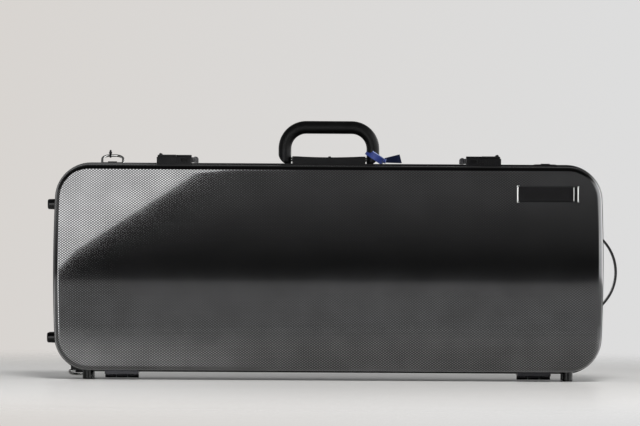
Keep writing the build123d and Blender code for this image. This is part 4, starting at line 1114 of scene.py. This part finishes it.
class CASE_OT_stage(bpy.types.Operator):
    """Sets the pale floor, the soft lights and the camera."""

    bl_idname = "case.stage"
    bl_label = "Stage"

    def execute(self, context):
        self.floor()
        self.panel()
        self.world(context)
        self.lights()
        self.camera(context)
        context.scene.view_settings.view_transform = "Standard"
        return {"FINISHED"}

    def floor(self):
        only()
        bpy.ops.mesh.primitive_grid_add(x_subdivisions=8, y_subdivisions=8, size=9.0, location=(0, 0, 0))
        floor = named("studio_floor")
        material, tree, shader = blank("painted_studio_floor")
        spot, base = node(tree, "TexCoord").outputs["Object"], colours().floor
        cloud = node(tree, "TexNoise", {"Vector": spot, "Scale": 2.0, "Detail": 2.0})
        tone = node(tree, "Mix", (cloud, darker(base, 0.97), darker(base, 1.02)), data_type="RGBA")
        set_inputs(tree, shader, {"Base Color": tone, "Roughness": 0.3})
        # The floor fades into the backdrop's tone away from the case
        reach = node(tree, "VectorMath", [spot], operation="LENGTH")
        fade = node(tree, "MapRange", (reach, 0.5, 2.2), interpolation_type="SMOOTHSTEP")
        faded = node(tree, "MixShader", (fade, shader, node(tree, "BsdfTransparent")))
        output = next(n for n in tree.nodes if n.type == "OUTPUT_MATERIAL")
        set_inputs(tree, output, {"Surface": faded})
        floor.data.materials.append(material)

    def panel(self):
        """A softbox in front of the case on the left, whose slanting edge the glossy lid shows."""
        low, high = Vector((-0.489, -2.75, 0.158)), Vector((-0.247, -2.75, 0.421))
        long, wide, past = 1.9, 1.2, 0.5
        run = (low - high).normalized()
        rise = Vector((run.z, 0, -run.x))
        only()
        bpy.ops.mesh.primitive_grid_add(x_subdivisions=12, y_subdivisions=12, size=1.0)
        panel = bpy.context.object
        panel.name = "soft_panel"
        turn = Matrix((run, rise, run.cross(rise))).transposed().to_4x4()
        centre = (low + high) / 2 + rise * wide / 2 + run * past
        panel.matrix_world = Matrix.Translation(centre) @ turn @ Matrix.Diagonal((long, wide, 1, 1))
        bpy.ops.object.transform_apply(location=True, rotation=True, scale=True)
        material = bpy.data.materials.new("soft_panel_glow")
        material.use_nodes = True
        tree = material.node_tree
        tree.nodes.clear()
        glow = node(tree, "Emission", {"Color": (1, 1, 1), "Strength": 4.4})
        node(tree, "OutputMaterial", {"Surface": glow})
        panel.data.materials.append(material)
        panel.visible_camera = False
        panel.visible_diffuse = False
        panel.visible_shadow = False

    def world(self, context):
        """A pale studio. What the glossy lid shows of it is a pale floor, a dark room just above the horizon,
        a dim ceiling, a bright wall at the right-hand end, a paler one at the left and a pale backdrop."""
        world = bpy.data.worlds.new("studio")
        context.scene.world = world
        world.use_nodes = True
        tree = world.node_tree
        tree.nodes.clear()
        direction = node(tree, "TexCoord").outputs["Generated"]
        x, y, level = node(tree, "SeparateXYZ", [direction]).outputs
        horizon = (-0.0175, -0.0145)
        over = node(tree, "MapRange", (level, *horizon))
        total = node(tree, "MapRange", (level, *horizon, 0.74, 0.035))
        # Each part that is added has the ranges whose product is its tone, as value, start, end, low, high
        parts = (
            ((level, -0.004, 0.042, 0, 0.36), (level, 0.32, 0.2)),
            ((x, 0.42, 0.55, 0, 3.0), (level, 0.62, 0.4), (over,)),
            ((x, -0.3, -0.45, 0, 0.09), (level, 0.62, 0.4), (over,)),
            ((y, 0, 0.12, 0, 0.08), (over,)),
        )
        for ranges in parts:
            tone, *others = (node(tree, "MapRange", entry) for entry in ranges)
            for other in others:
                tone = node(tree, "Math", (tone, other), operation="MULTIPLY")
            total = node(tree, "Math", (total, tone), operation="ADD")
        # The paper backdrop is a little warmer and darker on the left
        side = node(tree, "MapRange", (x, -0.05, 0.045))
        paper = node(tree, "Mix", (side, linear("#d8d4d0"), linear("#dddddd")), data_type="RGBA")
        mirrored = node(tree, "Background", {"Color": (1, 1, 1), "Strength": total})
        soft = node(tree, "Background", {"Color": (1, 0.995, 0.985), "Strength": 0.2})
        seen = node(tree, "Background", {"Color": paper, "Strength": 1.0})
        path = node(tree, "LightPath").outputs
        lit = node(tree, "MixShader", (path["Is Glossy Ray"], soft, mirrored))
        both = node(tree, "MixShader", (path["Is Camera Ray"], lit, seen))
        node(tree, "OutputWorld", {"Surface": both})

    # Name, place in metres, size in metres and power in watts
    LIGHTS = (
        ("key_light", (0.4, -3.0, 2.8), 1.0, 160.0),
        ("top_light", (0.2, -0.3, 2.2), 2.4, 7.0),
        ("right_light", (2.2, -0.6, 1.2), 1.2, 12.0),
        ("left_light", (-2.2, -0.6, 1.2), 1.2, 8.0),
        ("back_light", (0.0, 2.4, 1.4), 1.6, 2.0),
    )

    def lights(self):
        """Soft lights that all point at the middle of the case, and that its gloss doesn't show."""
        for name, spot, size, power in self.LIGHTS:
            only()
            bpy.ops.object.light_add(type="AREA", location=spot)
            light = bpy.context.object
            light.name = name
            light.data.size = size
            light.data.energy = power
            light.rotation_euler = (Vector(spot) - Vector((0, 0, 0.15))).to_track_quat("Z", "Y").to_euler()
            light.visible_camera = False
            light.visible_glossy = False

    def camera(self, context):
        """A long lens, level with the upper part of the case, square to the lid and rolled a little."""
        view = bpy.data.cameras.new("camera")
        camera = bpy.data.objects.new("camera", view)
        context.scene.collection.objects.link(camera)
        distance = 10.0
        view.sensor_width = 36.0
        view.lens = view.sensor_width * distance / (PHOTO_WIDTH * PIXEL * MM)
        x = MIDDLE_X + (PHOTO_WIDTH / 2 - MIDDLE_PIXEL) * PIXEL * MM
        z = (CASE_TOP + (TOP_PIXEL - PHOTO_HEIGHT / 2) * PIXEL) * MM
        camera.location = (x, SEAM_Y - distance, z)
        camera.rotation_euler = (math.pi / 2, ROLL, 0)
        context.scene.camera = camera


STEPS = (
    CASE_OT_shells, CASE_OT_rims, CASE_OT_handle, CASE_OT_ribbon, CASE_OT_latches, CASE_OT_strap_rings,
    CASE_OT_hinges, CASE_OT_feet, CASE_OT_end_handle, CASE_OT_name_plate, CASE_OT_linings, CASE_OT_stage,
)


class CASE_PT_panel(bpy.types.Panel):
    """Shows the sizes and colours, and the steps that build the case."""

    bl_idname = "CASE_PT_panel"
    bl_label = "Violin case"
    bl_space_type = "VIEW_3D"
    bl_region_type = "UI"
    bl_category = "Violin case"

    def draw(self, context):
        for group in (context.scene.case_shape, context.scene.case_colours):
            for key in group.bl_rna.properties.keys():
                if key not in ("rna_type", "name"):
                    self.layout.prop(group, key)
        for step in STEPS:
            self.layout.operator(step.bl_idname)


CLASSES = (CaseShape, CaseColours, *STEPS, CASE_PT_panel)


def register():
    for cls in CLASSES:
        bpy.utils.register_class(cls)
    bpy.types.Scene.case_shape = PointerProperty(type=CaseShape)
    bpy.types.Scene.case_colours = PointerProperty(type=CaseColours)


def unregister():
    del bpy.types.Scene.case_colours
    del bpy.types.Scene.case_shape
    for cls in reversed(CLASSES):
        bpy.utils.unregister_class(cls)


def main():
    register()
    for step in STEPS:
        group, name = step.bl_idname.split(".")
        getattr(getattr(bpy.ops, group), name)()


if __name__ == "__main__":
    main()
